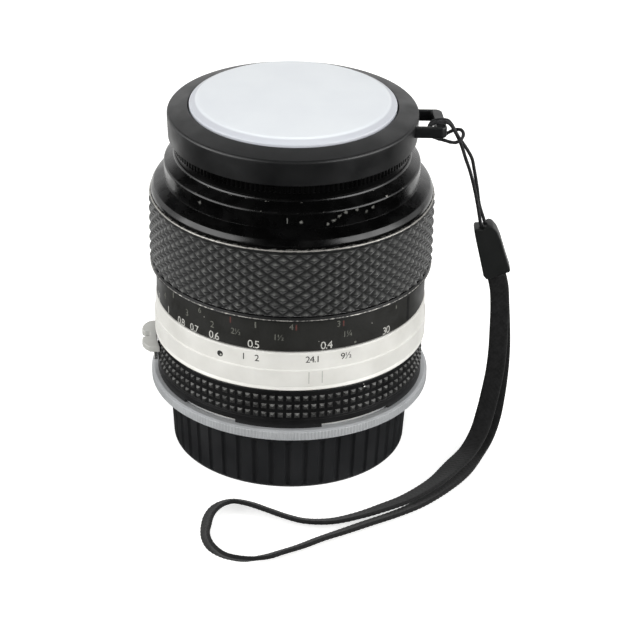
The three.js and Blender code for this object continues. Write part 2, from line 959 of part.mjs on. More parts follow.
function rearCell() {
  const bore = rearGlassRadius + gap;
  const profile = [
    [bore, rearCellBase],
    [rearCellRadius, rearCellBase],
    [rearCellRadius, rearCellTop - cellFlange],
    [irisRadius, rearCellTop - cellFlange],
    [irisRadius, rearCellTop],
    [bore, rearCellTop],
    [bore, rearSeatTop],
    [rearGlassRadius - glassSeatWidth, rearSeatTop],
    [rearGlassRadius - glassSeatWidth, rearSeatBase],
    [bore, rearSeatBase],
  ];
  return turned(profile, tubeSides);
}

function irisHousing() {
  const profile = [
    [irisOpening, webTop],
    [irisRadius, webTop],
    [irisRadius, irisTop],
    [irisRadius - irisWall, irisTop],
    [irisRadius - irisWall, webTop + irisPlate],
    [irisOpening, webTop + irisPlate],
  ];
  return turned(profile, tubeSides);
}

// One iris blade: a crescent with a round lobe at its pivot, in a layer of its own.
function irisBlade(index) {
  const turn = (360 / bladeCount) * index;
  const lobeHalf = THREE.MathUtils.radToDeg(bladeLobe / bladeOuter);
  const outline = [];
  const lobe = around(turn, bladePivot);
  outline.push(around(turn - lobeHalf, bladeOuter));
  for (let i = 0; i <= 4; i += 1) {
    const edge = around(turn - 90 + 45 * i, bladeLobe);
    outline.push(edge.add(lobe));
  }
  const steps = 7;
  for (let i = 0; i <= steps; i += 1) {
    const azimuth = turn + lobeHalf + ((bladeAngle - lobeHalf) * i) / steps;
    outline.push(around(azimuth, bladeOuter));
  }
  for (let i = steps; i >= 0; i -= 1) {
    const azimuth = turn - lobeHalf + ((bladeAngle + lobeHalf) * i) / steps;
    outline.push(around(azimuth, bladeInner));
  }
  const low = webTop + irisPlate + gap + index * (bladeThickness + gap);
  return prism(outline, low, low + bladeThickness);
}

function irisCamRing() {
  const middle = (camRingBore + camRingRadius) / 2;
  const ring = plainRing(
    camRingBore,
    camRingRadius,
    camRingBase,
    camRingBase + camRingThickness,
    tubeSides,
  );
  const slots = spaced(bladeCount).map((azimuth) => {
    const slot = new THREE.BoxGeometry(camSlotLength, camSlotWidth, 4 * camRingThickness);
    slot.translate(middle, 0, camRingBase);
    return slot.rotateZ(THREE.MathUtils.degToRad(azimuth));
  });
  return worked(ring, [], slots);
}

const gripSeatBase = gripBase + gap;
const gripSeatTop = gripTop - gap;

function focusRing() {
  const lipRadius = gripRadius - gripProud;
  const seat = focusTop - 2 * helicoidFlangeThickness;
  const profile = [
    [focusBore, focusBase],
    [scaleRadius, focusBase],
    [scaleRadius, lipBase],
    [lipRadius, lipBase],
    [lipRadius, gripBase],
    [focusSeatRadius, gripBase],
    [focusSeatRadius, gripTop],
    [lipRadius, gripTop],
    [lipRadius, focusTop],
    [helicoidFlangeRadius + gap, focusTop],
    [helicoidFlangeRadius + gap, seat],
    [focusBore, seat],
  ];
  return turned(profile, outerSides);
}

function focusHelicoid() {
  const seat = focusTop - 2 * helicoidFlangeThickness;
  const profile = [
    [helicoidBore, indexBase + indexWebThickness + gap],
    [helicoidRadius, indexBase + indexWebThickness + gap],
    [helicoidRadius, seat],
    [helicoidFlangeRadius, seat],
    [helicoidFlangeRadius, seat + helicoidFlangeThickness],
    [helicoidBore, seat + helicoidFlangeThickness],
  ];
  return turned(profile, tubeSides);
}

// A sleeve of staggered pyramids: every other point of the net is a peak, and the rest are pits.
function focusGrip() {
  const bore = focusSeatRadius + gap;
  const step = (gripSeatTop - gripSeatBase - 2 * gripMargin) / gripRows;
  const edge = () => gripRadius - gripEdge;
  const netRadius = (column, row) => gripRadius - ((column + row) % 2 === 0 ? 0 : gripDepth);
  const rings = [
    [() => bore, gripSeatBase],
    [edge, gripSeatBase],
  ];
  for (let row = 0; row <= gripRows; row += 1) {
    rings.push([(column) => netRadius(column, row), gripSeatBase + gripMargin + row * step]);
  }
  rings.push([edge, gripSeatTop], [() => bore, gripSeatTop]);
  const positions = [];
  for (const [radiusAt, height] of rings) {
    for (let column = 0; column < gripColumns; column += 1) {
      const at = around((360 * column) / gripColumns, radiusAt(column));
      positions.push(at.x, at.y, height);
    }
  }
  const faces = [];
  for (let ring = 0; ring < rings.length; ring += 1) {
    const low = ring * gripColumns;
    const high = ((ring + 1) % rings.length) * gripColumns;
    for (let column = 0; column < gripColumns; column += 1) {
      const next = (column + 1) % gripColumns;
      const corners = [low + column, low + next, high + next, high + column];
      const [a, b, c, d] = corners;
      if ((column + ring) % 2 === 0) faces.push(a, b, d, b, c, d);
      else faces.push(a, b, c, a, c, d);
    }
  }
  return closedMesh(positions, faces);
}

// The cap's band, gripped to unscrew it, and the tube that fits the filter thread.
function capThreadRing() {
  const profile = [
    [capTubeRadius, bandBase],
    [capBandRadius, bandBase],
    [capBandRadius, capBase],
    [capTubeRadius - capTubeWall, capBase],
    [capTubeRadius - capTubeWall, bandBase - capTubeDepth],
    [capTubeRadius, bandBase - capTubeDepth],
  ];
  return turned(profile, outerSides);
}

const domeRim = capTop - domeThickness;

// The lug is a flat U with its bar outside, and the cord goes round that bar.
function strapLug() {
  const outer = capRimRadius + lugReach;
  const inner = capRimRadius - 1.2;
  const back = outer - lugTaper;
  const outline = [
    [inner, lugFront],
    [outer, lugFront],
    [back, lugBack],
    [inner, lugBack],
    [inner, lugBack - lugArm],
    [back - lugBar, lugBack - lugArm],
    [outer - lugBar, lugFront + lugArm],
    [inner - 0.8, lugFront + lugArm],
    [inner - 0.8, lugFront],
  ];
  const points = outline.map(([x, y]) => new THREE.Vector2(x, y));
  return prism(points, capRimTop - lugHeight - 0.1, capRimTop - 0.1);
}

function capRing() {
  const bore = capWallFoot - capWallThickness;
  const seatBore = domeHole - domeSeat;
  const profile = [
    [bore, capBase],
    [capWallFoot, capBase],
    [capRimRadius, capRimTop],
    [domeHole, capTop],
    [domeHole, domeRim],
    [seatBore, domeRim],
    [seatBore, domeRim - capTopThickness],
    [bore, domeRim - capTopThickness],
  ];
  return worked(turned(profile, outerSides), [strapLug()], []);
}

// A nearly flat face with a broad bevel round it.
function capDome() {
  const face = domeRadius - domeBevel;
  const rise = (share) => domeEdgeRise + (domeRise - domeEdgeRise) * (1 - share ** 2);
  const rings = [1, 0.6, 0];
  const top = rings.map((share) => [share * face, capTop + rise(share)]);
  const under = rings.map((share) => [share * (face - 0.6), domeRim + rise(share)]);
  const rim = [
    [domeRadius - 1.2, domeRim],
    [domeRadius, domeRim],
    [domeRadius, capTop - 0.3],
  ];
  return turned([...under.reverse(), ...rim, ...top], outerSides);
}

function vectors(rows) {
  return rows.map(([x, y, z]) => new THREE.Vector3(x, y, z));
}

// The thin cord: up from the sleeve, hitched round the lug's bar under its own bight, and back down.
function tetherCord() {
  const path = new THREE.CatmullRomCurve3(vectors(cordRoute));
  const section = new THREE.Shape();
  for (let i = 0; i < cordSides; i += 1) {
    const a = (2 * Math.PI * (i + 0.5)) / cordSides;
    const at = [(cordDiameter / 2) * Math.cos(a), (cordDiameter / 2) * Math.sin(a)];
    if (i === 0) section.moveTo(...at);
    else section.lineTo(...at);
  }
  const options = { steps: cordSteps, extrudePath: path, bevelEnabled: false };
  return new THREE.ExtrudeGeometry(section, options);
}

// The moulded keeper where the cord ends and the strap begins.
function strapSleeve() {
  const outline = sleeveOutline.map(([x, z]) => new THREE.Vector2(x, z));
  const options = {
    depth: sleeveDepth - 2 * sleeveBevel,
    bevelEnabled: true,
    bevelThickness: sleeveBevel,
    bevelSize: sleeveBevel,
    bevelOffset: -sleeveBevel,
    bevelSegments: 1,
  };
  const shape = new THREE.ExtrudeGeometry(new THREE.Shape(outline), options);
  const middle = sleeveDepth / 2 - sleeveBevel;
  return shape.rotateX(Math.PI / 2).translate(0, sleeveMiddle + middle, 0);
}

// The flat band: one closed body swept along its route, its width turned by the route's two angles.
function wristStrap() {
  const path = new THREE.CatmullRomCurve3(vectors(strapRoute));
  const widths = strapRoute.map(([, , , turn, lean]) => {
    const t = THREE.MathUtils.degToRad(turn);
    const l = THREE.MathUtils.degToRad(lean);
    return new THREE.Vector3(Math.cos(l) * Math.cos(t), Math.cos(l) * Math.sin(t), Math.sin(l));
  });
  const facing = new THREE.CatmullRomCurve3(widths);
  const half = strapWidth / 2;
  const thin = strapThickness / 2;
  const section = [
    [half, -thin + strapCorner],
    [half, thin - strapCorner],
    [half - strapCorner, thin],
    [-half + strapCorner, thin],
    [-half, thin - strapCorner],
    [-half, -thin + strapCorner],
    [-half + strapCorner, -thin],
    [half - strapCorner, -thin],
  ];
  const positions = [];
  const faces = [];
  const sides = section.length;
  for (let i = 0; i <= strapSteps; i += 1) {
    const t = i / strapSteps;
    const middle = path.getPoint(t);
    const along = path.getTangent(t);
    const normal = new THREE.Vector3().crossVectors(along, facing.getPoint(t)).normalize();
    const across = new THREE.Vector3().crossVectors(normal, along);
    for (const [u, v] of section) {
      const point = middle.clone().addScaledVector(across, u).addScaledVector(normal, v);
      positions.push(point.x, point.y, point.z);
    }
  }
  for (let i = 0; i < strapSteps; i += 1) {
    for (let j = 0; j < sides; j += 1) {
      const a = i * sides + j;
      const b = i * sides + ((j + 1) % sides);
      faces.push(a, b, a + sides, b, b + sides, a + sides);
    }
  }
  const last = strapSteps * sides;
  for (let j = 1; j < sides - 1; j += 1) {
    faces.push(0, j + 1, j);
    faces.push(last, last + j, last + j + 1);
  }
  return closedMesh(positions, faces);
}

function mountBody() {
  const group = new THREE.Group();
  add(group, "mount_adapter_ring", mountAdapterRing(), satinChrome);
  add(group, "bayonet_mount", bayonetMount(), satinChrome);
  spaced(mountScrewCount, mountScrewAzimuth).forEach((azimuth, i) => {
    add(group, `mount_screw_${i + 1}`, mountScrew(azimuth), steel);
  });
  add(group, "rear_baffle", rearBaffle(), blackSatin);
  add(group, "guide_tube", guideTube(), blackSatin);
  add(group, "guide_key", guideKey(), brass);
  add(group, "index_barrel", indexBarrel(), satinChrome);
  return group;
}

function apertureBody() {
  const group = new THREE.Group();
  add(group, "aperture_ring", apertureRing(), blackPaint);
  add(group, "coupling_prong", couplingProng(), steel);
  add(group, "prong_screw_1", prongScrew(-1), steel);
  add(group, "prong_screw_2", prongScrew(1), steel);
  return group;
}

function opticsBody() {
  const group = new THREE.Group();
  add(group, "optical_barrel", opticalBarrel(), blackSatin);
  add(group, "front_barrel", frontBarrel(), blackPaint);
  add(group, "name_ring", nameRing(), blackSatin);
  add(group, "front_cell", frontCell(), blackSatin);
  add(group, "rear_cell", rearCell(), blackSatin);
  add(group, "iris_housing", irisHousing(), blackSatin);

  const frontTop = frontSeat + frontGlassThickness;
  const secondTop = secondSeat + secondGlassThickness;
  const front = glass(frontGlassRadius, frontSeat, frontTop, -frontGlassHollow, frontGlassBulge);
  add(group, "front_glass", front, coatedGlass);
  add(group, "front_retaining_ring", retainer(frontGlassRadius, frontTop, retainerHeight), brass);
  const hollow = -secondGlassHollow;
  const second = glass(secondGlassRadius, secondSeat, secondTop, hollow, hollow);
  add(group, "second_glass", second, coatedGlass);
  add(group, "glass_spacer", retainer(secondGlassRadius, secondTop, frontSeat - secondTop), brass);

  const doubletTop = rearSeatTop + doubletThickness;
  const thirdBase = doubletTop + gap;
  const thirdTop = thirdBase + doubletThickness;
  const rearTop = rearSeatBase;
  const rearLow = rearTop - rearGlassThickness;
  const third = glass(rearGlassRadius, thirdBase, thirdTop, -thirdGlassHollow, thirdGlassBulge);
  const fourth = glass(rearGlassRadius, rearSeatTop, doubletTop, thirdGlassBulge, thirdGlassHollow);
  add(group, "third_glass", third, coatedGlass);
  add(group, "fourth_glass", fourth, coatedGlass);
  add(group, "middle_retaining_ring", retainer(rearGlassRadius, thirdTop, retainerHeight), brass);
  const rear = glass(rearGlassRadius, rearLow, rearTop, rearGlassBulge, rearGlassBulge);
  add(group, "rear_glass", rear, coatedGlass);
  const lowRing = retainer(rearGlassRadius, rearLow - retainerHeight, retainerHeight);
  add(group, "rear_retaining_ring", lowRing, brass);
  return group;
}

function focusBody() {
  const group = new THREE.Group();
  add(group, "focus_ring", focusRing(), blackPaint);
  add(group, "focus_helicoid", focusHelicoid(), brass);
  add(group, "focus_grip", focusGrip(), blackRubber);
  return group;
}

function irisBody() {
  const group = new THREE.Group();
  add(group, "iris_cam_ring", irisCamRing(), steel);
  for (let i = 0; i < bladeCount; i += 1) {
    add(group, `iris_blade_${i + 1}`, irisBlade(i), bladeSteel);
  }
  return group;
}

function frontCapBody() {
  const group = new THREE.Group();
  add(group, "cap_thread_ring", capThreadRing(), blackPlastic);
  add(group, "cap_ring", capRing(), blackPlastic);
  add(group, "cap_dome", capDome(), domePlastic);
  add(group, "tether_cord", tetherCord(), webbing);
  add(group, "strap_sleeve", strapSleeve(), blackPlastic);
  add(group, "wrist_strap", wristStrap(), webbing);
  return group;
}

add(lens, "rear_cap", rearCap(), blackPlastic);
add(lens, "stop_down_lever", stopDownLever(), steel);
lens.add(mountBody(), apertureBody(), opticsBody(), focusBody(), irisBody(), frontCapBody());

export default lens;
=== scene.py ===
"""A manual-focus prime lens on its rear cap, with a tethered front cap and a wrist strap.

Every piece is made in the frame of the lens: metres, +Z along the optical axis, -Y to the side with the
index dot. Sizes in the tables are millimetres, and azimuths are degrees from -Y towards +X.
"""
import math
from functools import cache

import bmesh
import bpy
import numpy as np
from mathutils import Matrix, Vector


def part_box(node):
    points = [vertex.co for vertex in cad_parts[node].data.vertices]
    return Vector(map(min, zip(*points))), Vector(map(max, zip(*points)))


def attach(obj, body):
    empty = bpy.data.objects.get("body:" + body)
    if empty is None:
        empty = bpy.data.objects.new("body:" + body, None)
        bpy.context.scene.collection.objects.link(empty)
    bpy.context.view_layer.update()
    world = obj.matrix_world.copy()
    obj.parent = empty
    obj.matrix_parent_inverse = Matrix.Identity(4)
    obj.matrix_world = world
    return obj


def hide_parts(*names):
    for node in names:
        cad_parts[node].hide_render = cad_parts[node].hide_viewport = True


bl_info = {
    "name": "Prime camera lens",
    "version": (1, 0, 0),
    "blender": (4, 5, 0),
    "location": "3D View > Sidebar > Lens",
    "description": "Builds a manual-focus prime lens with its caps, cord and strap",
    "category": "Object",
}

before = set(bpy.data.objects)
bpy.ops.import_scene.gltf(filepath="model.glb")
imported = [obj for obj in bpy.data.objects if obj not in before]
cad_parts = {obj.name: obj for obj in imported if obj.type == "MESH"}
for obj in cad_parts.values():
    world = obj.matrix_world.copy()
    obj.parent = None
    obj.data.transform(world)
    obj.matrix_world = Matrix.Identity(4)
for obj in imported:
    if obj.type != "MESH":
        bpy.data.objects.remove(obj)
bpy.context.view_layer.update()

MM = 0.001
SIDES = 256
CAP_SIDES = 240
INNER_SIDES = 96
# A corner flatter than this cosine stays as it is; an arc takes this share of a side at most.
STRAIGHT = -0.985
CORNER_SHARE = 0.4


def srgb(code):
    """Linear values of an sRGB hex colour."""
    parts = [int(code[i : i + 2], 16) / 255 for i in (0, 2, 4)]
    linear = [p / 12.92 if p <= 0.04045 else ((p + 0.055) / 1.055) ** 2.4 for p in parts]
    return (*linear, 1.0)


def reach(node):
    """Outer radius, lowest and highest height of a round node, in millimetres."""
    low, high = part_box(node)
    return high.y / MM, low.z / MM, high.z / MM


# Shapes


def on_barrel(azimuth, radius, height):
    """The point at an azimuth in radians, in metres."""
    return (radius * math.sin(azimuth) * MM, -radius * math.cos(azimuth) * MM, height * MM)


def rounded(profile, soft, closed):
    """The profile with each real corner cut to a small arc."""
    made = []
    count = len(profile)
    for i, here in enumerate(profile):
        if not closed and i in (0, count - 1):
            made.append(here)
            continue
        here = np.array(here, float)
        back = np.array(profile[i - 1], float) - here
        ahead = np.array(profile[(i + 1) % count], float) - here
        long_back = np.linalg.norm(back)
        long_ahead = np.linalg.norm(ahead)
        back /= long_back
        ahead /= long_ahead
        if float(back @ ahead) < STRAIGHT:
            made.append(tuple(here))
            continue
        cut = min(soft, CORNER_SHARE * min(long_back, long_ahead))
        for t in (0.0, 0.25, 0.5, 0.75, 1.0):
            arc = (1 - t) ** 2 * cut * back + t**2 * cut * ahead
            made.append(tuple(here + arc))
    return made


def placed(name, mesh, work, smooth, weighted=True):
    """A piece from its worked mesh, smooth apart from edges sharper than an angle in degrees."""
    work.to_mesh(mesh)
    work.free()
    mesh.shade_smooth()
    mesh.set_sharp_from_angle(angle=math.radians(smooth))
    piece = bpy.data.objects.new(name, mesh)
    bpy.context.scene.collection.objects.link(piece)
    if weighted:
        piece.modifiers.new("even_shading", "WEIGHTED_NORMAL").keep_sharp = True
    return piece


def mesh_piece(name, points, faces, smooth=40.0, weighted=True):
    """A closed piece from points and faces, with its faces turned outwards."""
    mesh = bpy.data.meshes.new(name)
    mesh.from_pydata(points, [], faces)
    work = bmesh.new()
    work.from_mesh(mesh)
    bmesh.ops.recalc_face_normals(work, faces=work.faces)
    if work.calc_volume(signed=True) < 0:
        bmesh.ops.reverse_faces(work, faces=work.faces)
    return placed(name, mesh, work, smooth, weighted)


def turned(name, profile, sides, soft, carve=None, smooth=40.0):
    """A piece turned on a lathe from its [radius, height] profile; carve moves its points afterwards."""
    full = profile[0][0] == 0
    line = rounded(profile, soft, not full)
    radii = np.array([p[0] for p in line])
    heights = np.array([p[1] for p in line])
    angles = np.linspace(0, 2 * math.pi, sides, endpoint=False)
    r = np.repeat(radii[:, None], sides, 1)
    z = np.repeat(heights[:, None], sides, 1)
    if carve:
        r, z = carve(angles[None, :], r, z)
    x = r * np.sin(angles)[None, :] * MM
    y = -r * np.cos(angles)[None, :] * MM
    points = []
    rings = []
    for i in range(len(line)):
        start = len(points)
        if full and i in (0, len(line) - 1):
            points.append((0.0, 0.0, heights[i] * MM))
            rings.append([start] * sides)
            continue
        points.extend(zip(x[i].tolist(), y[i].tolist(), (z[i] * MM).tolist()))
        rings.append(list(range(start, start + sides)))
    faces = []
    last = len(line) - (1 if full else 0)
    for i in range(last):
        a, b = rings[i], rings[(i + 1) % len(line)]
        for j in range(sides):
            k = (j + 1) % sides
            if a[0] == a[-1]:
                faces.append((a[j], b[j], b[k]))
            elif b[0] == b[-1]:
                faces.append((a[j], b[j], a[k]))
            else:
                faces.append((a[j], b[j], b[k], a[k]))
    return mesh_piece(name, points, faces, smooth)


def strip_faces(count, steps):
    """Faces of a closed outline of count points carried along in steps, with its two ends."""
    faces = []
    for i in range(steps):
        for j in range(count):
            a, b = i * count + j, i * count + (j + 1) % count
            faces.append((a, b, b + count, a + count))
    faces.append(tuple(range(count)))
    faces.append(tuple(range(steps * count, (steps + 1) * count)))
    return faces


def arc_points(profile, first, last, steps):
    """Points and faces of a closed profile swept between two azimuths in degrees."""
    points = []
    for i in range(steps + 1):
        a = math.radians(first + (last - first) * i / steps)
        points.extend(on_barrel(a, r, z) for r, z in profile)
    return points, strip_faces(len(profile), steps)


def joined(parts):
    """One list of points and faces from several."""
    points = []
    faces = []
    for some_points, some_faces in parts:
        start = len(points)
        points.extend(some_points)
        faces.extend(tuple(i + start for i in face) for face in some_faces)
    return points, faces


def extruded(name, outline, low, high, soft, levels, place=None):
    """A flat outline given thickness, with soft edges; place maps its points into the frame."""
    work = bmesh.new()
    lower = [work.verts.new((x * MM, y * MM, low * MM)) for x, y in outline]
    work.faces.new(lower)
    grown = bmesh.ops.extrude_face_region(work, geom=list(work.faces))
    upper = [v for v in grown["geom"] if isinstance(v, bmesh.types.BMVert)]
    bmesh.ops.translate(work, verts=upper, vec=(0, 0, (high - low) * MM))
    bmesh.ops.recalc_face_normals(work, faces=work.faces)
    edges = [e for e in work.edges if e.calc_face_angle(0) > math.radians(25)]
    shape = {"segments": levels, "profile": 0.5, "affect": "EDGES", "clamp_overlap": True}
    bmesh.ops.bevel(work, geom=edges, offset=soft * MM, **shape)
    if place:
        for v in work.verts:
            v.co = place(v.co)
    bmesh.ops.recalc_face_normals(work, faces=work.faces)
    return placed(name, bpy.data.meshes.new(name), work, 35)


def through(rows, t):
    """The point at t, from 0 to 1, on the smooth line through the rows."""
    count = len(rows) - 1
    at = min(t * count, count - 1e-9)
    i = int(at)
    local = at - i
    p = [np.array(rows[k], float) for k in (max(i - 1, 0), i, i + 1, min(i + 2, count))]
    if i == 0:
        p[0] = 2 * p[1] - p[2]
    if i == count - 1:
        p[3] = 2 * p[2] - p[1]
    knots = [max(float(np.sum((p[k + 1] - p[k]) ** 2)) ** 0.25, 1e-4) for k in range(3)]
    first = (p[1] - p[0]) / knots[0] - (p[2] - p[0]) / (knots[0] + knots[1])
    first = (first + (p[2] - p[1]) / knots[1]) * knots[1]
    second = (p[2] - p[1]) / knots[1] - (p[3] - p[1]) / (knots[1] + knots[2])
    second = (second + (p[3] - p[2]) / knots[2]) * knots[1]
    c2 = -3 * p[1] + 3 * p[2] - 2 * first - second
    c3 = 2 * p[1] - 2 * p[2] + first + second
    return p[1] + first * local + c2 * local**2 + c3 * local**3


def even_steps(rows, steps):
    """Values of t that are evenly spaced along the line through the rows, and the line's length."""
    fine = np.linspace(0, 1, steps * 6 + 1)
    places = np.array([through([row[:3] for row in rows], t) for t in fine])
    along = np.concatenate([[0], np.cumsum(np.linalg.norm(np.diff(places, axis=0), axis=1))])
    return np.interp(np.linspace(0, along[-1], steps + 1), along, fine), float(along[-1])


def swept(name, rows, steps, section, across_at):
    """A closed band or cord along the rows; section(mm) gives its points, across_at(t) its width."""
    ts, length = even_steps(rows, steps)
    line = [row[:3] for row in rows]
    middles = np.array([through(line, t) for t in ts])
    ahead = np.gradient(middles, axis=0)
    points = []
    for i, t in enumerate(ts):
        along = ahead[i] / np.linalg.norm(ahead[i])
        normal = np.cross(along, across_at(t))
        normal /= np.linalg.norm(normal)
        across = np.cross(normal, along)
        ring = section(i * length / steps)
        points.extend(tuple((middles[i] + across * u + normal * v) * MM) for u, v in ring)
    faces = strip_faces(len(points) // (steps + 1), steps)
    piece = mesh_piece(name, points, faces, smooth=60.0, weighted=False)
    path = [tuple(m * MM) for m in middles[:: max(1, steps // 240)]]
    path.append(tuple(middles[-1] * MM))
    return piece, path, length


# Materials


def add_node(tree, kind, feeds=None, **sets):
    """Adds a node, sets its properties and feeds its sockets with values or links."""
    made = tree.nodes.new(kind)
    for key, value in sets.items():
        setattr(made, key, value)
    for key, value in (feeds or {}).items():
        if isinstance(value, bpy.types.NodeSocket):
            tree.links.new(value, made.inputs[key])
        else:
            made.inputs[key].default_value = value
    return made


def new_finish(name, **sockets):
    """A material with its shader's sockets set, and its place in millimetres."""
    made = bpy.data.materials.new(name)
    made.use_nodes = True
    tree = made.node_tree
    shader = tree.nodes["Principled BSDF"]
    for key, value in sockets.items():
        shader.inputs[key.replace("_", " ")].default_value = value
    where = add_node(tree, "ShaderNodeTexCoord").outputs["Object"]
    feeds = {0: where, "Scale": 1 / MM}
    place = add_node(tree, "ShaderNodeVectorMath", feeds, operation="SCALE")
    return made, tree, shader, place.outputs["Vector"]


def grained(tree, shader, place, size, depth, detail=2.0):
    """Raises an even grain, its size and depth in millimetres."""
    feeds = {"Vector": place, "Scale": 1 / size, "Detail": detail}
    grain = add_node(tree, "ShaderNodeTexNoise", feeds).outputs["Fac"]
    raised = add_node(tree, "ShaderNodeBump", {"Height": grain, "Distance": depth * MM})
    tree.links.new(raised.outputs["Normal"], shader.inputs["Normal"])


def lathe_lines(tree, shader, place, width, depth, detail=3.0):
    """Raises fine lines round the optical axis, their width and depth in millimetres."""
    feeds = {"Vector": place, "Scale": (0.05, 0.05, 1 / width)}
    stretched = add_node(tree, "ShaderNodeMapping", feeds, vector_type="VECTOR").outputs["Vector"]
    grained(tree, shader, stretched, 1.0, depth, detail)


def mottled(tree, place, size, low, high, detail=4.0):
    """A value that wanders between low and high over patches of the given size in millimetres."""
    feeds = {"Vector": place, "Scale": 1 / size, "Detail": detail}
    rough = add_node(tree, "ShaderNodeTexNoise", feeds).outputs["Fac"]
    # Most of the noise lies between 0.3 and 0.7.
    spread = {"Value": rough, 1: 0.3, 2: 0.7, 3: low, 4: high}
    return add_node(tree, "ShaderNodeMapRange", spread).outputs["Result"]


def coloured(tree, shader, base, *coats):
    """Colours the surface with a base and with each coat, a mask and its colour, over the last."""
    shade = srgb(base)
    shader.inputs["Base Color"].default_value = shade
    for mask, over in coats:
        feeds = {0: mask, 6: shade, 7: srgb(over)}
        shade = add_node(tree, "ShaderNodeMix", feeds, data_type="RGBA").outputs[2]
    if coats:
        tree.links.new(shade, shader.inputs["Base Color"])


def worn(tree, place, edges, chips, grit=0.9, step=0.12, deep=1.0):
    """1 on the worn edges, given as (height, reach, strength), and on the chips, and 0 elsewhere."""
    height = add_node(tree, "ShaderNodeSeparateXYZ", {0: place}).outputs["Z"]
    feeds = {"Vector": place, "Scale": 1 / grit, "Detail": 6.0, "Roughness": 0.62}
    rough = add_node(tree, "ShaderNodeTexNoise", feeds).outputs["Fac"]
    spots = []
    for level, wide, strength in edges:
        away = add_node(tree, "ShaderNodeMath", {0: height, 1: level}, operation="SUBTRACT")
        away = add_node(tree, "ShaderNodeMath", {0: away.outputs[0]}, operation="ABSOLUTE")
        spots.append((away.outputs[0], wide, strength))
    for azimuth, radius, level, wide in chips:
        a = math.radians(azimuth)
        point = (radius * math.sin(a), -radius * math.cos(a), level)
        away = add_node(tree, "ShaderNodeVectorMath", {0: place, 1: point}, operation="DISTANCE")
        spots.append((away.outputs["Value"], wide, deep))
    total = 0.0
    for away, wide, strength in spots:
        feeds = {"Value": away, 1: 0.0, 2: wide, 3: strength, 4: 0.0}
        near = add_node(tree, "ShaderNodeMapRange", feeds).outputs["Result"]
        total = add_node(tree, "ShaderNodeMath", {0: total, 1: near}, operation="MAXIMUM").outputs[0]
    both = add_node(tree, "ShaderNodeMath", {0: total, 1: rough}, operation="ADD").outputs[0]
    feeds = {"Value": both, 1: 1.0, 2: 1.0 + step, 3: 0.0, 4: 1.0}
    return add_node(tree, "ShaderNodeMapRange", feeds).outputs["Result"]


def facing_up_lit(tree, start=0.0, low=0.0):
    """A value from low to 1 as the surface turns to face up: it carries painted light from above, and marks
    where a dusting settles.
    """
    facing = add_node(tree, "ShaderNodeTexCoord").outputs["Normal"]
    up = add_node(tree, "ShaderNodeSeparateXYZ", {0: facing}).outputs["Z"]
    feeds = {"Value": up, 1: start, 2: 0.6, 3: low, 4: 1.0}
    return add_node(tree, "ShaderNodeMapRange", feeds).outputs["Result"]


def outwards(tree, place, start, end):
    """A value from 0 to 1 between two distances from the optical axis, in millimetres."""
    across = add_node(tree, "ShaderNodeSeparateXYZ", {0: place}).outputs
    feeds = {"X": across["X"], "Y": across["Y"]}
    flat = add_node(tree, "ShaderNodeCombineXYZ", feeds).outputs[0]
    out = add_node(tree, "ShaderNodeVectorMath", {0: flat}, operation="LENGTH").outputs["Value"]
    feeds = {"Value": out, 1: start, 2: end, 3: 0.0, 4: 1.0}
    return add_node(tree, "ShaderNodeMapRange", feeds).outputs["Result"]


def moulded_abs(name, colour, rough, dusty, sheen):
    """ABS moulded in a fine-sparked tool: near black, with a soft even sheen and a very fine grain."""
    made, tree, shader, place = new_finish(name, IOR=1.54, Specular_IOR_Level=sheen)
    tree.links.new(mottled(tree, place, 6.0, rough - 0.06, rough + 0.1), shader.inputs["Roughness"])
    pale_coat = [(mottled(tree, place, 9.0, 0.0, dusty), "4A4B4C")] if dusty else []
    coloured(tree, shader, colour, *pale_coat)
    # Spark grain is about 0.1 mm; it is drawn at 0.3 mm so that it shows.
    grained(tree, shader, place, size=0.3, depth=0.012)
    return made


def enamel(name, edges, chips, colour, rough, sheen, scuffs=(), faded=()):
    """Black enamel on aluminium: glossy where kept, scuffed grey, and rubbed to bare metal on its edges."""
    made, tree, shader, place = new_finish(name, IOR=1.5, Specular_IOR_Level=sheen)
    bare = worn(tree, place, edges, chips)
    coats = [(mottled(tree, place, 3.0, 0.0, 0.25), "0B0B0B")]
    for level, shade in faded:
        height = add_node(tree, "ShaderNodeSeparateXYZ", {0: place}).outputs["Z"]
        feeds = {"Value": height, 1: level, 2: level + 0.2, 3: 1.0, 4: 0.0}
        below = add_node(tree, "ShaderNodeMapRange", feeds).outputs["Result"]
        coats.append((below, shade))
    if scuffs:
        coats.append((worn(tree, place, (), scuffs, grit=0.8, step=0.25, deep=0.76), "6A6A66"))
    coloured(tree, shader, colour, *coats, (bare, "A9A7A1"))
    feeds = {"Value": bare, 1: 0.0, 2: 1.0, 3: 0.0, 4: 0.6}
    metallic = add_node(tree, "ShaderNodeMapRange", feeds).outputs["Result"]
    tree.links.new(metallic, shader.inputs["Metallic"])
    feeds = {0: bare, 2: mottled(tree, place, 4.0, rough, rough + 0.16), 3: 0.4}
    mixed = add_node(tree, "ShaderNodeMix", feeds, data_type="FLOAT").outputs[0]
    tree.links.new(mixed, shader.inputs["Roughness"])
    # The bare metal lies the paint's thickness, 0.03 mm, below its face.
    inward = add_node(tree, "ShaderNodeMath", {0: 1.0, 1: bare}, operation="SUBTRACT").outputs[0]
    raised = add_node(tree, "ShaderNodeBump", {"Height": inward, "Distance": 0.03 * MM})
    tree.links.new(raised.outputs["Normal"], shader.inputs["Normal"])
    return made


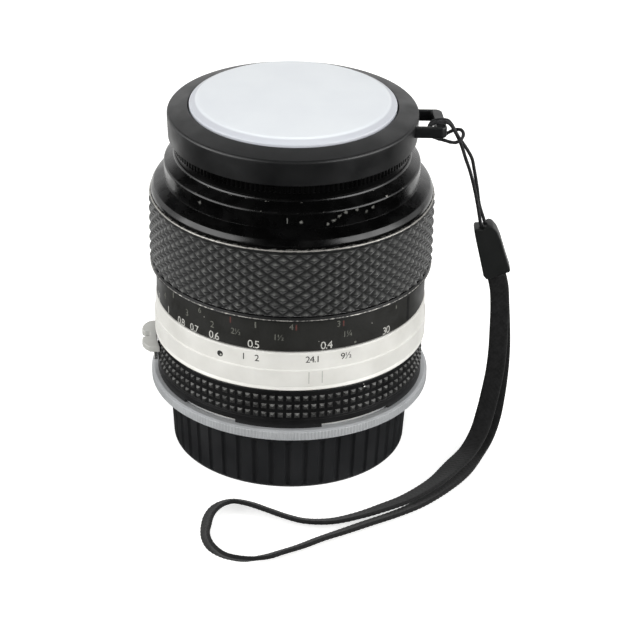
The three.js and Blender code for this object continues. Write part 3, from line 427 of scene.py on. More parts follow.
def nitrile():
    """Nitrile rubber moulded in pyramids: matte charcoal, with painted light from above on the tops and
    up-facing faces, where a pale dusting also lies.
    """
    sheen = {"Sheen_Weight": 0.6, "Sheen_Roughness": 0.4}
    made, tree, shader, place = new_finish("rubber_moulded_dusty_toplit", Roughness=0.6, IOR=1.52, **sheen)
    radius = reach("focus_grip")[0]
    # The pale coat is painted light from above on the tops and up-facing faces, over a little dusting there;
    # the valleys keep the dark base.
    pale_coat = outwards(tree, place, radius - 0.5, radius)
    for mask in (mottled(tree, place, 1.6, 0.1, 1.1, 6.0), facing_up_lit(tree)):
        pale_coat = add_node(tree, "ShaderNodeMath", {0: pale_coat, 1: mask}, operation="MULTIPLY").outputs[0]
    coloured(tree, shader, "0B0C0B", (pale_coat, "777874"))
    grained(tree, shader, place, size=0.25, depth=0.03, detail=3.0)
    return made


def rubbed_toplit_enamel():
    """The enamel of the small pads: black, rubbed grey by fingers, with painted light from above that makes
    their up-facing faces paler.
    """
    made, tree, shader, place = new_finish("enamel_black_rubbed_toplit", Roughness=0.38)
    # The pale coat is patchy rubbing, strongest on the up-facing faces as painted light from above.
    patchy = mottled(tree, place, 1.3, 0.1, 1.2, 6.0)
    feeds = {0: patchy, 1: facing_up_lit(tree, start=0.05, low=0.22)}
    pale_coat = add_node(tree, "ShaderNodeMath", feeds, operation="MULTIPLY").outputs[0]
    coloured(tree, shader, "141414", (pale_coat, "6A6A68"))
    return made


@cache
def satin_metal(name, colour, rough, lines=0.25, stain="A9A79F", depth=0.006, metallic=1.0):
    """Metal turned on a lathe and plated satin: bright, with fine lines round it and faint stains."""
    made, tree, shader, place = new_finish(name, Metallic=metallic)
    coloured(tree, shader, colour, (mottled(tree, place, 7.0, 0.0, 0.35, 5.0), stain))
    tree.links.new(mottled(tree, place, 4.0, rough, rough + 0.14), shader.inputs["Roughness"])
    # The tool's feed is about 0.1 mm a turn; the lines are drawn wider so that they show.
    lathe_lines(tree, shader, place, lines, depth)
    return made


@cache
def black_anodised(name="aluminium_black_anodised", rough=0.38):
    """Aluminium turned and anodised black: a dull even black with fine lathe lines."""
    made, tree, shader, place = new_finish(name, Metallic=0.35, Roughness=rough)
    coloured(tree, shader, "131314", (mottled(tree, place, 8.0, 0.0, 1.0), "1C1C1E"))
    lathe_lines(tree, shader, place, width=0.25, depth=0.01, detail=2.0)
    return made


def opal_polycarbonate():
    """Opal polycarbonate, moulded with a satin face: cool white that lets light soak in, with painted shade
    on its outer bevel and edge.
    """
    soak = {
        "Subsurface_Weight": 0.25,
        "Subsurface_Radius": (1.0, 1.0, 1.0),
        "Subsurface_Scale": 1.2 * MM,
    }
    made, tree, shader, place = new_finish("polycarbonate_opal", Roughness=0.34, IOR=1.58, **soak)
    edge = reach("cap_dome")[0]
    cloudy = mottled(tree, place, 14.0, 0.0, 1.0, 3.0)
    # The outer bevel and edge are painted a darker grey: painted shade, as less light falls there than on
    # the crown.
    bevel_shade = outwards(tree, place, edge - 1.55, edge - 1.2)
    coloured(tree, shader, "EAEEF1", (cloudy, "E4E8EC"), (bevel_shade, "CBCED4"))
    grained(tree, shader, place, size=0.5, depth=0.008)
    return made


def nylon_yarn(name, colour, lint, rough):
    """Nylon yarn, woven or braided: soft black with a faint sheen and a little lint."""
    sheen = {"Sheen_Weight": 0.12, "Sheen_Roughness": 0.5, "Specular_IOR_Level": 0.3}
    made, tree, shader, place = new_finish(name, Roughness=rough, IOR=1.5, **sheen)
    coloured(tree, shader, colour, (mottled(tree, place, 1.2, 0.0, 0.55, 8.0), lint))
    grained(tree, shader, place, size=0.16, depth=0.03)
    return made


def filled_paint(name, colour, wear):
    """Paint wiped into an engraved mark: flat, and patchy where it has rubbed out."""
    made, tree, shader, place = new_finish(name, Roughness=0.6)
    coloured(tree, shader, colour, (mottled(tree, place, 0.5, 0.0, wear), "3A3A38"))
    return made


@cache
def coated_glass():
    """Polished optical glass with a thin coating that tints its reflections violet."""
    clear = {"Transmission_Weight": 1.0, "Specular_Tint": (0.72, 0.6, 1.0, 1.0)}
    made, tree, shader, place = new_finish("glass_coated_optical", Roughness=0.02, IOR=1.6, **clear)
    coloured(tree, shader, "EAF1F4", (mottled(tree, place, 20.0, 0.0, 1.0), "E2ECF2"))
    return made


# Name, colour, roughness, width of the lines, stain, depth of the lines and metallic of each metal.
CHROME = ("chrome_satin_plated", "E9E8E3", 0.5, 0.25, "C4C2BA", 0.006, 0.27)
STEEL = ("steel_polished", "BDBDBB", 0.22)
NICKEL = ("steel_nickel_plated", "D2D2CE", 0.42, 0.3, "8E8D86", 0.02, 0.3)
BLACKENED = ("steel_blackened", "2B2B2D", 0.4, 0.3, "1D1D1F")
BRASS = ("brass_turned", "A98C52", 0.34, 0.3, "6E5A33")
ADAPTER = ("aluminium_turned_clear", "C2C4C6", 0.4, 0.3, "A0A2A3", 0.006, 0.4)


def dress(piece, finish, body, slot, *nodes):
    """Gives a piece its material and its body, and hides the nodes that it stands for; the slot is not used.
    """
    piece.data.materials.append(finish)
    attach(piece, body)
    if nodes:
        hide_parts(*nodes)
    return piece


def repaint(node, finish):
    """Gives a node that stays its own material."""
    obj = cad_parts[node]
    if not obj.material_slots:
        obj.data.materials.append(finish)
    for place in obj.material_slots:
        place.material = finish


# Markings


def wrapped_text(marks, radius):
    """Points and faces of marks, each (text, azimuth, height, size), laid round a barrel."""
    lift = 0.02
    parts = []
    for text, azimuth, height, size in marks:
        curve = bpy.data.curves.new("mark", "FONT")
        curve.body = text
        curve.size = size * MM
        curve.extrude = 0.5 * lift * MM
        curve.align_x = "CENTER"
        curve.space_character = 0.86
        curve.align_y = "CENTER"
        shown = bpy.data.objects.new("mark", curve)
        bpy.context.scene.collection.objects.link(shown)
        graph = bpy.context.evaluated_depsgraph_get()
        mesh = bpy.data.meshes.new_from_object(shown.evaluated_get(graph))
        points = []
        for v in mesh.vertices:
            a = math.radians(azimuth) + v.co.x / MM / radius
            points.append(on_barrel(a, radius + lift + v.co.z / MM, height + v.co.y / MM))
        parts.append((points, [tuple(p.vertices) for p in mesh.polygons]))
        bpy.data.objects.remove(shown)
        bpy.data.curves.remove(curve)
        bpy.data.meshes.remove(mesh)
    return joined(parts)


def strokes(marks, radius):
    """Points and faces of thin raised lines, each (azimuth, height, width, length), on a barrel."""
    lift = 0.03
    parts = []
    for azimuth, height, width, long in marks:
        half = math.degrees(width / 2 / radius)
        low, high = height - long / 2, height + long / 2
        inner, outer = radius - lift, radius + lift
        profile = [(inner, low), (outer, low), (outer, high), (inner, high)]
        parts.append(arc_points(profile, azimuth - half, azimuth + half, 2))
    return joined(parts)


def disc_on_barrel(azimuth, height, radius, size, low, high):
    """Points and faces of a round plug set square into a barrel."""
    sides = 24
    a = math.radians(azimuth)
    out = Vector((math.sin(a), -math.cos(a), 0))
    side = Vector((math.cos(a), math.sin(a), 0))
    points = []
    for level, share in ((low, 1.0), (high - 0.06, 1.0), (high, 0.85)):
        for i in range(sides):
            t = 2 * math.pi * i / sides
            at = out * (radius + level) + side * (size * share * math.cos(t))
            at.z = height + size * share * math.sin(t)
            points.append(tuple(at * MM))
    return points, strip_faces(sides, 2)


def marked(name, shape, finish, body, slot="adapter_metal"):
    """Sets marks on a barrel as one flat-shaded piece."""
    dress(mesh_piece(name, *shape, smooth=30.0, weighted=False), finish, body, slot)


# Settings


class LensSettings(bpy.types.PropertyGroup):
    """Sizes and colours of the lens that a user may want to change."""

    grip_depth: bpy.props.FloatProperty(
        name="Grip depth", description="Height of the rubber pyramids", default=0.75 * MM, unit="LENGTH"
    )
    pad_height: bpy.props.FloatProperty(
        name="Pad height", description="Height of the aperture ring's pads", default=0.45 * MM, unit="LENGTH"
    )
    rib_depth: bpy.props.FloatProperty(
        name="Rib depth", description="Depth of the rear cap's grooves", default=0.6 * MM, unit="LENGTH"
    )
    focal_length: bpy.props.FloatProperty(
        name="Camera lens", description="Focal length of the scene's camera", default=143.2
    )
    lamp_power: bpy.props.FloatProperty(
        name="Lamp power", description="Power of the main soft lamp", default=3.0, unit="POWER"
    )
    floor_colour: bpy.props.FloatVectorProperty(
        name="Floor", description="Colour of the floor", default=srgb("F4F4F2")[:3], subtype="COLOR"
    )


# Stage and camera

CAMERA_PLACE = (0.0, -515.37, 308.1)
CAMERA_PITCH = 28.197
CAMERA_YAW = 0.547
CAMERA_ROLL = 1.092
SENSOR_WIDTH = 36.0
# Where the lamps aim, in metres.
LAMP_AIM = (0, 0, 0.045)
# Name, place and size in metres, share of the lamp power, and whether the metal mirrors it.
LAMPS = (
    ("lamp_left", (-0.553, -0.224, 0.27), (0.62, 0.4), 1.0, True),
    ("lamp_right", (0.541, -0.255, 0.27), (0.56, 0.4), 1.0, True),
    ("lamp_top", (0.0, 0.12, 0.7), (0.4, 0.3), 0.4, False),
    ("lamp_front", (0.0, -0.65, 0.35), (0.4, 0.3), 0.5, False),
)
WORLD_LIGHT = 0.2
FLOOR_REACH = 3.0
FLOOR_DROP = 0.05
FLOOR_GLOW = 0.62
# How far each card reaches to both sides of its middle, in degrees.
LOW_SPAN = 88.0
HIGH_SPAN = 148.0
SHEET_SPAN = 120.0
CARD_RADIUS = 1100.0
SHEET_INNER = 27.8
SHEET_HEIGHT = 0.1
DARK_GLOW = 0.004
GREY_GLOW = 0.3


def make_camera(settings):
    """Adds the camera where the photo's camera stood."""
    yaw, pitch, roll = (math.radians(a) for a in (CAMERA_YAW, CAMERA_PITCH, CAMERA_ROLL))
    level = math.cos(pitch)
    ahead = Vector((math.sin(yaw) * level, math.cos(yaw) * level, -math.sin(pitch)))
    right = Vector((math.cos(yaw), -math.sin(yaw), 0))
    up = right.cross(ahead)
    tilted_right = right * math.cos(roll) + up * math.sin(roll)
    tilted_up = up * math.cos(roll) - right * math.sin(roll)
    turn = Matrix((tilted_right, tilted_up, -ahead)).transposed()
    data = bpy.data.cameras.new("camera")
    data.sensor_width = SENSOR_WIDTH
    data.lens = settings.focal_length
    data.clip_start = 0.01
    data.clip_end = 20
    camera = bpy.data.objects.new("camera", data)
    camera.matrix_world = Matrix.Translation(Vector(CAMERA_PLACE) * MM) @ turn.to_4x4()
    bpy.context.scene.collection.objects.link(camera)
    bpy.context.scene.camera = camera


def make_lamp(name, place, size, power, mirrored):
    """Adds a soft lamp that the camera doesn't see."""
    data = bpy.data.lights.new(name, "AREA")
    data.shape = "RECTANGLE"
    data.size, data.size_y = size
    data.energy = power
    lamp = bpy.data.objects.new(name, data)
    lamp.location = place
    aim = Vector(LAMP_AIM) - Vector(place)
    lamp.rotation_euler = aim.to_track_quat("-Z", "Y").to_euler()
    lamp.visible_camera = False
    lamp.visible_glossy = mirrored
    bpy.context.scene.collection.objects.link(lamp)


def seen_rays(tree):
    """1 for rays from the camera and for those that metal and glass send on."""
    rays = add_node(tree, "ShaderNodeLightPath")
    total = rays.outputs["Is Camera Ray"]
    for kind in ("Is Glossy Ray", "Is Transmission Ray"):
        feeds = {0: total, 1: rays.outputs[kind]}
        total = add_node(tree, "ShaderNodeMath", feeds, operation="MAXIMUM").outputs[0]
    return total


def make_world():
    """Adds even light from all round, white where the camera or a reflection looks at it."""
    world = bpy.data.worlds.new("studio")
    world.use_nodes = True
    tree = world.node_tree
    lights = []
    for strength in (WORLD_LIGHT, 1.0):
        feeds = {"Color": (1, 1, 1, 1), "Strength": strength}
        lights.append(add_node(tree, "ShaderNodeBackground", feeds).outputs[0])
    feeds = {0: seen_rays(tree), 1: lights[0], 2: lights[1]}
    mixed = add_node(tree, "ShaderNodeMixShader", feeds)
    tree.links.new(mixed.outputs[0], tree.nodes["World Output"].inputs["Surface"])
    bpy.context.scene.world = world


def stage_piece(name, shape, finish):
    """An object of the stage, with the nodes of its new material."""
    mesh = bpy.data.meshes.new(name)
    mesh.from_pydata(shape[0], [], shape[1])
    piece = bpy.data.objects.new(name, mesh)
    bpy.context.scene.collection.objects.link(piece)
    made = bpy.data.materials.new(finish)
    made.use_nodes = True
    mesh.materials.append(made)
    return piece, made.node_tree


def make_floor(settings):
    """Adds the white paper that the lens stands on, which keeps the lens's shadow."""
    far = FLOOR_REACH
    corners = [(-far, -far, 0), (far, -far, 0), (far, far, 0), (-far, far, 0)]
    floor, tree = stage_piece("floor", (corners, [(0, 1, 2, 3)]), "paper_white_sweep")
    floor.location.z = -FLOOR_DROP * MM
    shader = tree.nodes["Principled BSDF"]
    shader.inputs["Base Color"].default_value = (*settings.floor_colour, 1.0)
    shader.inputs["Roughness"].default_value = 0.9
    shader.inputs["Specular IOR Level"].default_value = 0.1
    glow = add_node(tree, "ShaderNodeEmission", {"Color": (1, 1, 1, 1), "Strength": FLOOR_GLOW})
    lit = add_node(tree, "ShaderNodeAddShader", {0: shader.outputs[0], 1: glow.outputs[0]})
    feeds = {0: seen_rays(tree), 1: shader.outputs[0], 2: lit.outputs[0]}
    mixed = add_node(tree, "ShaderNodeMixShader", feeds)
    tree.links.new(mixed.outputs[0], tree.nodes["Material Output"].inputs["Surface"])


def card_band(middle, span, levels, steps):
    """Points and faces of a strip of a great sphere round an azimuth, between heights in degrees."""
    points = []
    for i in range(steps + 1):
        a = math.radians(middle - span + 2 * span * i / steps)
        for rise in levels:
            b = math.radians(rise)
            points.append(on_barrel(a, CARD_RADIUS * math.cos(b), CARD_RADIUS * math.sin(b)))
    faces = []
    count = len(levels)
    for i in range(steps):
        for a in range(i * count, (i + 1) * count - 1):
            faces.append((a, a + 1, a + 1 + count, a + count))
    return points, faces


def card_sheet(span, inner, outer, height, steps):
    """Points and faces of a flat ring sector close over the floor."""
    points = []
    for i in range(steps + 1):
        a = math.radians(-span + 2 * span * i / steps)
        points.extend((on_barrel(a, inner, height), on_barrel(a, outer, height)))
    return points, [(2 * i, 2 * i + 1, 2 * i + 3, 2 * i + 2) for i in range(steps)]


def stand_card(name, shape, finish, strength):
    """A card that only shows in reflections."""
    card, tree = stage_piece(name, shape, finish)
    for kind in ("camera", "diffuse", "transmission", "volume_scatter", "shadow"):
        setattr(card, f"visible_{kind}", False)
    glow = add_node(tree, "ShaderNodeEmission", {"Color": (1, 1, 1, 1), "Strength": strength})
    tree.links.new(glow.outputs[0], tree.nodes["Material Output"].inputs["Surface"])


def make_cards():
    """Dark cards round the front and overhead, as in a studio, so that paint reflects black there."""
    low = card_band(0.0, LOW_SPAN, (2.0, 12.0, 22.0), 24)
    front = card_band(0.0, HIGH_SPAN, (22.0, 32.0, 45.0, 60.0, 75.0, 89.0), 40)
    back = card_band(180.0, 180.0 - HIGH_SPAN, (50.0, 60.0, 75.0, 89.0), 10)
    sheet = card_sheet(SHEET_SPAN, SHEET_INNER, CARD_RADIUS, SHEET_HEIGHT, 28)
    stand_card("dark_card", joined([low, front, sheet]), "felt_black_card", DARK_GLOW)
    stand_card("grey_card", back, "felt_grey_card", GREY_GLOW)


class LENS_OT_stage(bpy.types.Operator):
    """Adds the camera, the soft lamps, the white surroundings and the floor"""

    bl_idname = "lens.stage"
    bl_label = "Stage"

    def execute(self, context):
        settings = context.scene.lens_settings
        make_camera(settings)
        make_world()
        make_floor(settings)
        make_cards()
        for name, place, size, share, mirrored in LAMPS:
            make_lamp(name, place, size, settings.lamp_power * share, mirrored)
        context.scene.view_settings.view_transform = "Standard"
        return {"FINISHED"}


# Cord, sleeve and strap

CORD_DIAMETER = 0.8
BRAID_PITCH = 1.3
CORD_ROUTE = [
    (44, -4.35, 55.9), (43.5, -4.37, 57.6), (42.65, -4.45, 62), (41.65, -4.5, 66.5),
    (40.4, -4.7, 71), (39.2, -5, 74.4), (38.3, -5.3, 77.2), (37.6, -5.6, 79), (36.9, -5.9, 80.5),
    (36.25, -6.15, 81.75), (35.6, -6.35, 82.9), (34.85, -6.45, 83.6), (33.9, -6.5, 83.85),
    (32.6, -6.5, 83.8), (31.22, -6.5, 83.23), (30.65, -6.5, 81.85), (31.22, -6.5, 80.45),
    (32.6, -6.5, 79.75), (34.2, -6.75, 79.45), (35.6, -7.05, 79.15), (36.8, -7.2, 79.2),
    (37.95, -6.7, 79.8), (38.45, -5.3, 80.45), (37.95, -3.85, 80.8), (36.7, -3.15, 80.5),
    (35.3, -3.35, 79.95), (34, -4.2, 79.6), (32.6, -5, 79.8), (31.22, -5.2, 80.47),
    (30.65, -5.2, 81.85), (31.22, -5.2, 83.23), (32.6, -5.2, 83.8), (33.9, -5.15, 83.85),
    (34.85, -5.1, 83.6), (35.55, -5, 82.85), (36.3, -4.8, 81.5), (37, -4.6, 80.1),
    (37.75, -4.4, 78.8), (38.7, -4.1, 77.4), (39.7, -3.9, 75.8), (40.8, -3.6, 73.6),
    (41.45, -3.4, 70.8), (42.3, -3.3, 66.5), (43.05, -3.35, 62), (44.4, -3.55, 57.8),
    (44.85, -3.65, 55.9),
]

STRAP_WIDTH = 4.4
STRAP_THICKNESS = 1.0
# Each row: the band's middle, then the turn and the lean of its width in degrees.
STRAP_ROUTE = [
    (47.9, -4.7, 44.2, 0, 17), (48.6, -4.7, 41, 0, 8), (49, -4.7, 36, 0, 0),
    (49.1, -4.7, 30.5, 0, 0), (49.1, -4.7, 24.5, 0, 0), (48.7, -4.9, 18.6, -2, 0),
    (47.9, -5.6, 13.6, -6, 0), (46.8, -7.4, 9, -12, 0), (45.3, -10.3, 5.4, -20, 0),
    (42.7, -14.8, 3, -28, 0), (38.7, -21.15, 2.5, -36, 0), (34.3, -28.14, 2.45, -38, 12),
    (27.35, -35.59, 2.4, -48, 15), (22.25, -38.95, 2.2, -61, 17), (16.2, -41.95, 1.75, -69, 22),
    (9.9, -44.09, 1.5, -79, 24), (4, -44.29, 1.6, -98, 27), (-0.4, -42.59, 1.7, -116, 31),
    (-4.8, -39.94, 1.72, -119, 32), (-9.1, -37.6, 1.8, -110, 30), (-12.6, -36.91, 1.9, -81, 29),
    (-15.2, -38.43, 2, -40, 30), (-17, -41.8, 2.3, -18, 39), (-17.9, -45.5, 2.4, -6, 52),
    (-18.1, -50, 2.5, 5, 63), (-17.5, -54.4, 2.6, 20, 90), (-15.6, -58, 2.6, 40, 116),
    (-12.9, -60.3, 2.5, 68, 134), (-9, -61, 2.3, 97, 140), (-4.8, -59.7, 2, 118, 150),
    (-1, -57.2, 1.7, 123, 148), (3.2, -54.81, 1.72, 123, 149), (7.5, -51.67, 1.66, 125, 150),
    (12.3, -48.64, 1.6, 123, 153), (18.35, -44.72, 1.55, 123, 155), (24.35, -40.9, 1.5, 126, 156),
    (29.7, -36.68, 1.42, 135, 158), (35.45, -29.92, 1.25, 144, 164), (40.6, -21.8, 0.95, 152, 172),
    (44.4, -13.2, 1.2, 160, 180), (46.8, -8.9, 3.2, 166, 180), (48.5, -5.9, 7, 172, 180),
    (49.4, -4.2, 12, 176, 180), (49.9, -3.5, 18, 180, 180), (50, -3.3, 24, 180, 180),
    (49.7, -3.3, 30, 180, 180), (49.2, -3.3, 36, 180, 180), (48.7, -3.3, 41, 180, 188),
    (47.9, -3.3, 44.2, 180, 197),
]
# One rib of the weave is about 0.35 mm; it is drawn at 0.55 mm across and 0.6 mm along so that it shows.
WEAVE_ACROSS = 0.55
WEAVE_ALONG = 0.6
WEAVE_DEPTH = 0.07


def strap_width_at(t):
    """The direction of the band's width at t, from 0 to 1 along its route."""
    rows = []
    for _, _, _, turn, lean in STRAP_ROUTE:
        a, b = math.radians(turn), math.radians(lean)
        rows.append((math.cos(b) * math.cos(a), math.cos(b) * math.sin(a), math.sin(b)))
    return through(rows, t)


def strap_section(along):
    """The band's outline at a length along it: flat, with soft selvedges and woven ribs."""
    half = STRAP_WIDTH / 2
    thin = STRAP_THICKNESS / 2 - WEAVE_DEPTH
    margin = 0.12
    selvedge = 0.5
    count = 17
    upper = []
    for i in range(count):
        u = -half + margin + (STRAP_WIDTH - 2 * margin) * i / (count - 1)
        edge = min(1.0, (half - abs(u)) / selvedge)
        rib = math.floor((u + half) / WEAVE_ACROSS) % 2
        wave = math.sin(math.pi * along / WEAVE_ALONG + math.pi * rib)
        cord = abs(math.sin(math.pi * (u + half) / WEAVE_ACROSS))
        upper.append((u, thin * (0.72 + 0.28 * edge), WEAVE_DEPTH * (0.6 * wave + 0.8 * cord)))
    over = [(u, v + w) for u, v, w in upper]
    under = [(u, -v - w) for u, v, w in reversed(upper)]
    side = thin * 0.3
    return [*over, (half, side), (half, -side), *under, (-half, -side), (-half, side)]


class LENS_OT_strap(bpy.types.Operator):
    """Weaves the flat wrist strap along its route"""

    bl_idname = "lens.strap"
    bl_label = "Wrist strap"

    def execute(self, context):
        strap, path, length = swept("strap_webbing", STRAP_ROUTE, 1400, strap_section, strap_width_at)
        yarn = nylon_yarn("nylon_woven_webbing", "090909", lint="1D1D1E", rough=0.75)
        dress(strap, yarn, "front_cap", "webbing", "wrist_strap")
        return {"FINISHED"}


def cord_section(along):
    """The cord's outline at a length along it, with a braid of two crossing lays."""
    ring = []
    count = 16
    for i in range(count):
        a = 2 * math.pi * i / count
        lay = math.sin(4 * a + 2 * math.pi * along / BRAID_PITCH)
        other = math.sin(4 * a - 2 * math.pi * along / BRAID_PITCH)
        r = CORD_DIAMETER / 2 * (0.95 + 0.07 * max(lay, other))
        ring.append((r * math.cos(a), r * math.sin(a)))
    return ring


SLEEVE_OUTLINE = [
    (45.4, 57.9), (46.2, 57.7), (47.3, 56.4), (48.3, 54.2), (49.3, 51), (50.3, 48), (50.9, 46.4),
    (50.6, 45.8), (49.6, 45.6), (46.6, 44.1), (45.4, 43.9), (44.7, 44.8), (43.7, 49), (42.6, 53.6),
    (42, 56.3), (42.3, 56.9), (43.2, 56.9), (44, 56.7), (44.6, 57.4),
]
SLEEVE_MIDDLE = -4.0
SLEEVE_DEPTH = 4.2


class LENS_OT_tether(bpy.types.Operator):
    """Makes the thin cord, hitched to the cap's lug, and the moulded sleeve"""

    bl_idname = "lens.tether"
    bl_label = "Tether cord and sleeve"

    def execute(self, context):
        black = moulded_abs("abs_moulded_sleeve", "131514", rough=0.5, dusty=0.03, sheen=0.5)
        half = SLEEVE_DEPTH / 2

        def upright(co):
            return Vector((co.x, co.z + SLEEVE_MIDDLE * MM, co.y))

        sleeve = extruded("sleeve_moulding", SLEEVE_OUTLINE, -half, half, 1.3, 6, upright)
        dress(sleeve, black, "front_cap", "black_plastic", "strap_sleeve")

        def sideways(t):
            return np.array([0, 1.0, 0])

        cord, path, length = swept("tether_braid", CORD_ROUTE, 420, cord_section, sideways)
        yarn = nylon_yarn("nylon_braided_cord", "101011", lint="2E2E30", rough=0.6)
        dress(cord, yarn, "front_cap", "cord_fabric", "tether_cord")
        return {"FINISHED"}


# Front cap

BAND_HEIGHT = 4.0


class LENS_OT_front_cap(bpy.types.Operator):
    """Makes the front cap: serrated band, ring with its strap lug, and the opal dome"""

    bl_idname = "lens.front_cap"
    bl_label = "Front cap"

    def execute(self, context):
        black = moulded_abs("abs_moulded_black", "060708", rough=0.46, dusty=0.03, sheen=0.75)
        self.ring(black)
        self.serrated_band()
        self.foot_bead()
        self.lug(black)
        self.dome()
        return {"FINISHED"}

    def ring(self, finish):
        """The outer ring, which holds the dome and carries the lug."""
        rim, low, high = reach("cap_ring")
        profile = [
            (rim - 2.05, low), (rim - 0.25, low), (rim - 0.02, high - 2.2),
            (rim - 0.04, high - 1.75), (rim - 0.13, high - 1.55), (rim - 0.38, high - 1.28),
            (rim - 2.4, high - 0.62), (rim - 4.2, high - 0.12), (rim - 4.72, high - 0.02),
            (rim - 4.75, high - 1.7), (rim - 6.05, high - 1.7), (rim - 6.05, high - 2.8),
            (rim - 2.05, high - 2.8),
        ]
        shell = turned("cap_ring_moulding", profile, CAP_SIDES, soft=0.18)
        dress(shell, finish, "front_cap", "black_plastic", "cap_ring")

    def serrated_band(self):
        """The serrated band under the ring, whose thread goes into the lens."""
        band, thread, top = reach("cap_thread_ring")
        foot = top - BAND_HEIGHT
        lip = foot + 1.6
        ribs = 150

        def serrate(angle, r, z):
            outer = (r > band - 0.05) & (z > lip) & (z < top - 0.15)
            wave = np.clip(np.cos(angle * ribs) * 1.6 + 0.4, -1, 1)
            return r - np.where(outer, 0.16 * (1 - wave), 0), z

        profile = [
            (band - 1.6, foot + 0.1), (band - 0.5, foot + 0.1), (band - 0.5, lip),
            (band, lip + 0.15), (band, lip + 0.8), (band, top - 0.3), (band, top - 0.18),
            (band, top), (band - 3.1, top), (band - 3.1, thread), (band - 1.6, thread),
        ]
        ring = turned("cap_band_serrated", profile, ribs * 8, 0.05, serrate, smooth=60.0)
        # The band is the cap's plastic coloured darker and less shiny than the ring: painted shade under the
        # ring's overhang.
        finish = moulded_abs("abs_moulded_band_shaded", "030303", rough=0.3, dusty=0.0, sheen=0.25)
        dress(ring, finish, "front_cap", "black_plastic", "cap_thread_ring")

    def foot_bead(self):
        """The polished bead round the foot of the band."""
        band, _, top = reach("cap_thread_ring")
        foot = top - BAND_HEIGHT
        profile = [
            (band - 0.7, foot - 0.36), (band - 0.05, foot - 0.36), (band, foot - 0.25),
            (band - 0.04, foot - 0.13), (band - 0.15, foot + 0.08), (band - 0.33, foot + 0.26),
            (band - 0.7, foot + 0.3),
        ]
        bead = turned("cap_band_bead", profile, CAP_SIDES, soft=0.05)
        finish = moulded_abs("abs_polished_bead", "040404", rough=0.24, dusty=0.0, sheen=0.55)
        dress(bead, finish, "front_cap", "black_plastic")

    def lug(self, finish):
        """The flat loop on the cap's side that the cord goes round."""
        rim, _, high = reach("cap_ring")
        top = high - 1.6
        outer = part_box("cap_ring")[1].x / MM
        front, back, arm, bar = -8.4, 2.3, 1.1, 2.2
        inner = rim - 1.0
        near = outer - 0.9
        outline = [
            (inner, front), (near, front), (outer, front + 0.9), (near + 0.1, back - 0.9),
            (near - 0.9, back), (inner, back), (inner, back - arm), (near - bar, back - arm),
            (outer - bar, front + arm), (inner - 0.8, front + arm), (inner - 0.8, front),
        ]
        loop = extruded("cap_strap_lug", outline, top - 2.8, top - 0.1, soft=0.4, levels=4)
        dress(loop, finish, "front_cap", "black_plastic")

    def dome(self):
        """The pale dome: a shallow crown, a soft bevel and a plain edge."""
        edge, low, high = reach("cap_dome")
        top = low + 1.7
        face = edge - 1.95
        lift = 1.5
        rise = high - top - lift
        shares = (0, 0.1, 0.2, 0.3, 0.4, 0.5, 0.6, 0.7, 0.8, 0.88, 0.94, 0.98)
        over = [(face * t, top + lift + rise * (1 - t**2)) for t in shares]
        bevel = [
            (face, top + lift - 0.02), (face + 0.3, top + lift - 0.16),
            (face + 0.75, top + lift - 0.46), (edge - 0.25, top + 0.62), (edge, top + 0.35),
            (edge, low), (edge - 1.2, low),
        ]
        under = [((face - 0.6) * t, low + lift + rise * (1 - t**2)) for t in (1, 0.7, 0.5, 0.25, 0)]
        dome = turned("cap_dome_moulding", [*over, *bevel, *under], CAP_SIDES, soft=0.15)
        dress(dome, opal_polycarbonate(), "front_cap", "dome_plastic", "cap_dome")


# Front barrel


class LENS_OT_front_barrel(bpy.types.Operator):
    """Turns the enamelled front barrel with its worn rims"""

    bl_idname = "lens.front_barrel"
    bl_label = "Front barrel"

    def execute(self, context):
        wide, low, high = reach("front_barrel")
        neck = 29.4
        profile = [
            (wide, low), (wide, low + 0.3), (wide - 0.06, low + 0.65), (wide - 0.2, low + 0.98),
            (wide - 0.42, low + 1.36), (wide - 0.66, low + 1.74), (wide - 1.1, low + 2.1),
            (wide - 1.9, low + 2.62), (neck + 0.03, low + 3.28), (neck, low + 3.31),
            (neck, high - 2.0), (neck - 0.04, high - 1.86), (neck - 0.13, high - 1.7),
            (neck - 0.28, high - 1.53), (27.2, high - 0.02), (27.0, high), (26.1, high),
            (26.0, high - 0.15), (26.0, high - 3.8), (26.6, high - 3.8), (26.6, low + 1.6),
            (25.5, low + 1.6), (25.5, low),
        ]
        barrel = turned("front_barrel_enamelled", profile, SIDES, soft=0.07)
        edges = ((high - 0.1, 0.2, 0.42), (high - 1.72, 0.26, 0.42), (low + 0.02, 0.14, 0.4))
        # Azimuth, radius, height and size of each chip and scuff.
        chips = ((-47.0, neck, 71.9, 0.7), (46.0, neck - 0.1, 71.9, 0.8), (128.0, neck, 71.6, 0.6))
        scuffs = (
            (-44.0, neck, 69.9, 1.5), (4.0, neck, 69.4, 1.2), (16.0, neck, 68.6, 1.4),
            (18.5, neck, 69.4, 1.6), (21.0, neck, 70.2, 1.5), (24.0, neck, 70.9, 1.3),
            (29.0, neck, 71.1, 1.3), (34.0, neck, 69.8, 1.3), (37.5, neck, 70.5, 1.3),
            (-150.0, neck, 70.4, 1.8),
        )
        name = "enamel_black_front"
        paint = enamel(name, edges, chips, "020202", rough=0.18, sheen=0.5, scuffs=scuffs)
        dress(barrel, paint, "optical_barrel", "black_paint", "front_barrel")
        grey = filled_paint("paint_grey_tick", "5E5E5B", wear=0.5)
        tick = strokes([(-1.8, 69.8, 0.22, 1.3)], neck)
        marked("front_barrel_tick", tick, grey, "optical_barrel")
        return {"FINISHED"}


# Focusing ring

# Pyramids round the grip, the height of one row, and the steps of the mesh in each row.
GRIP_ACROSS = 60
GRIP_ROW = 2.467
ROW_STEPS = 6

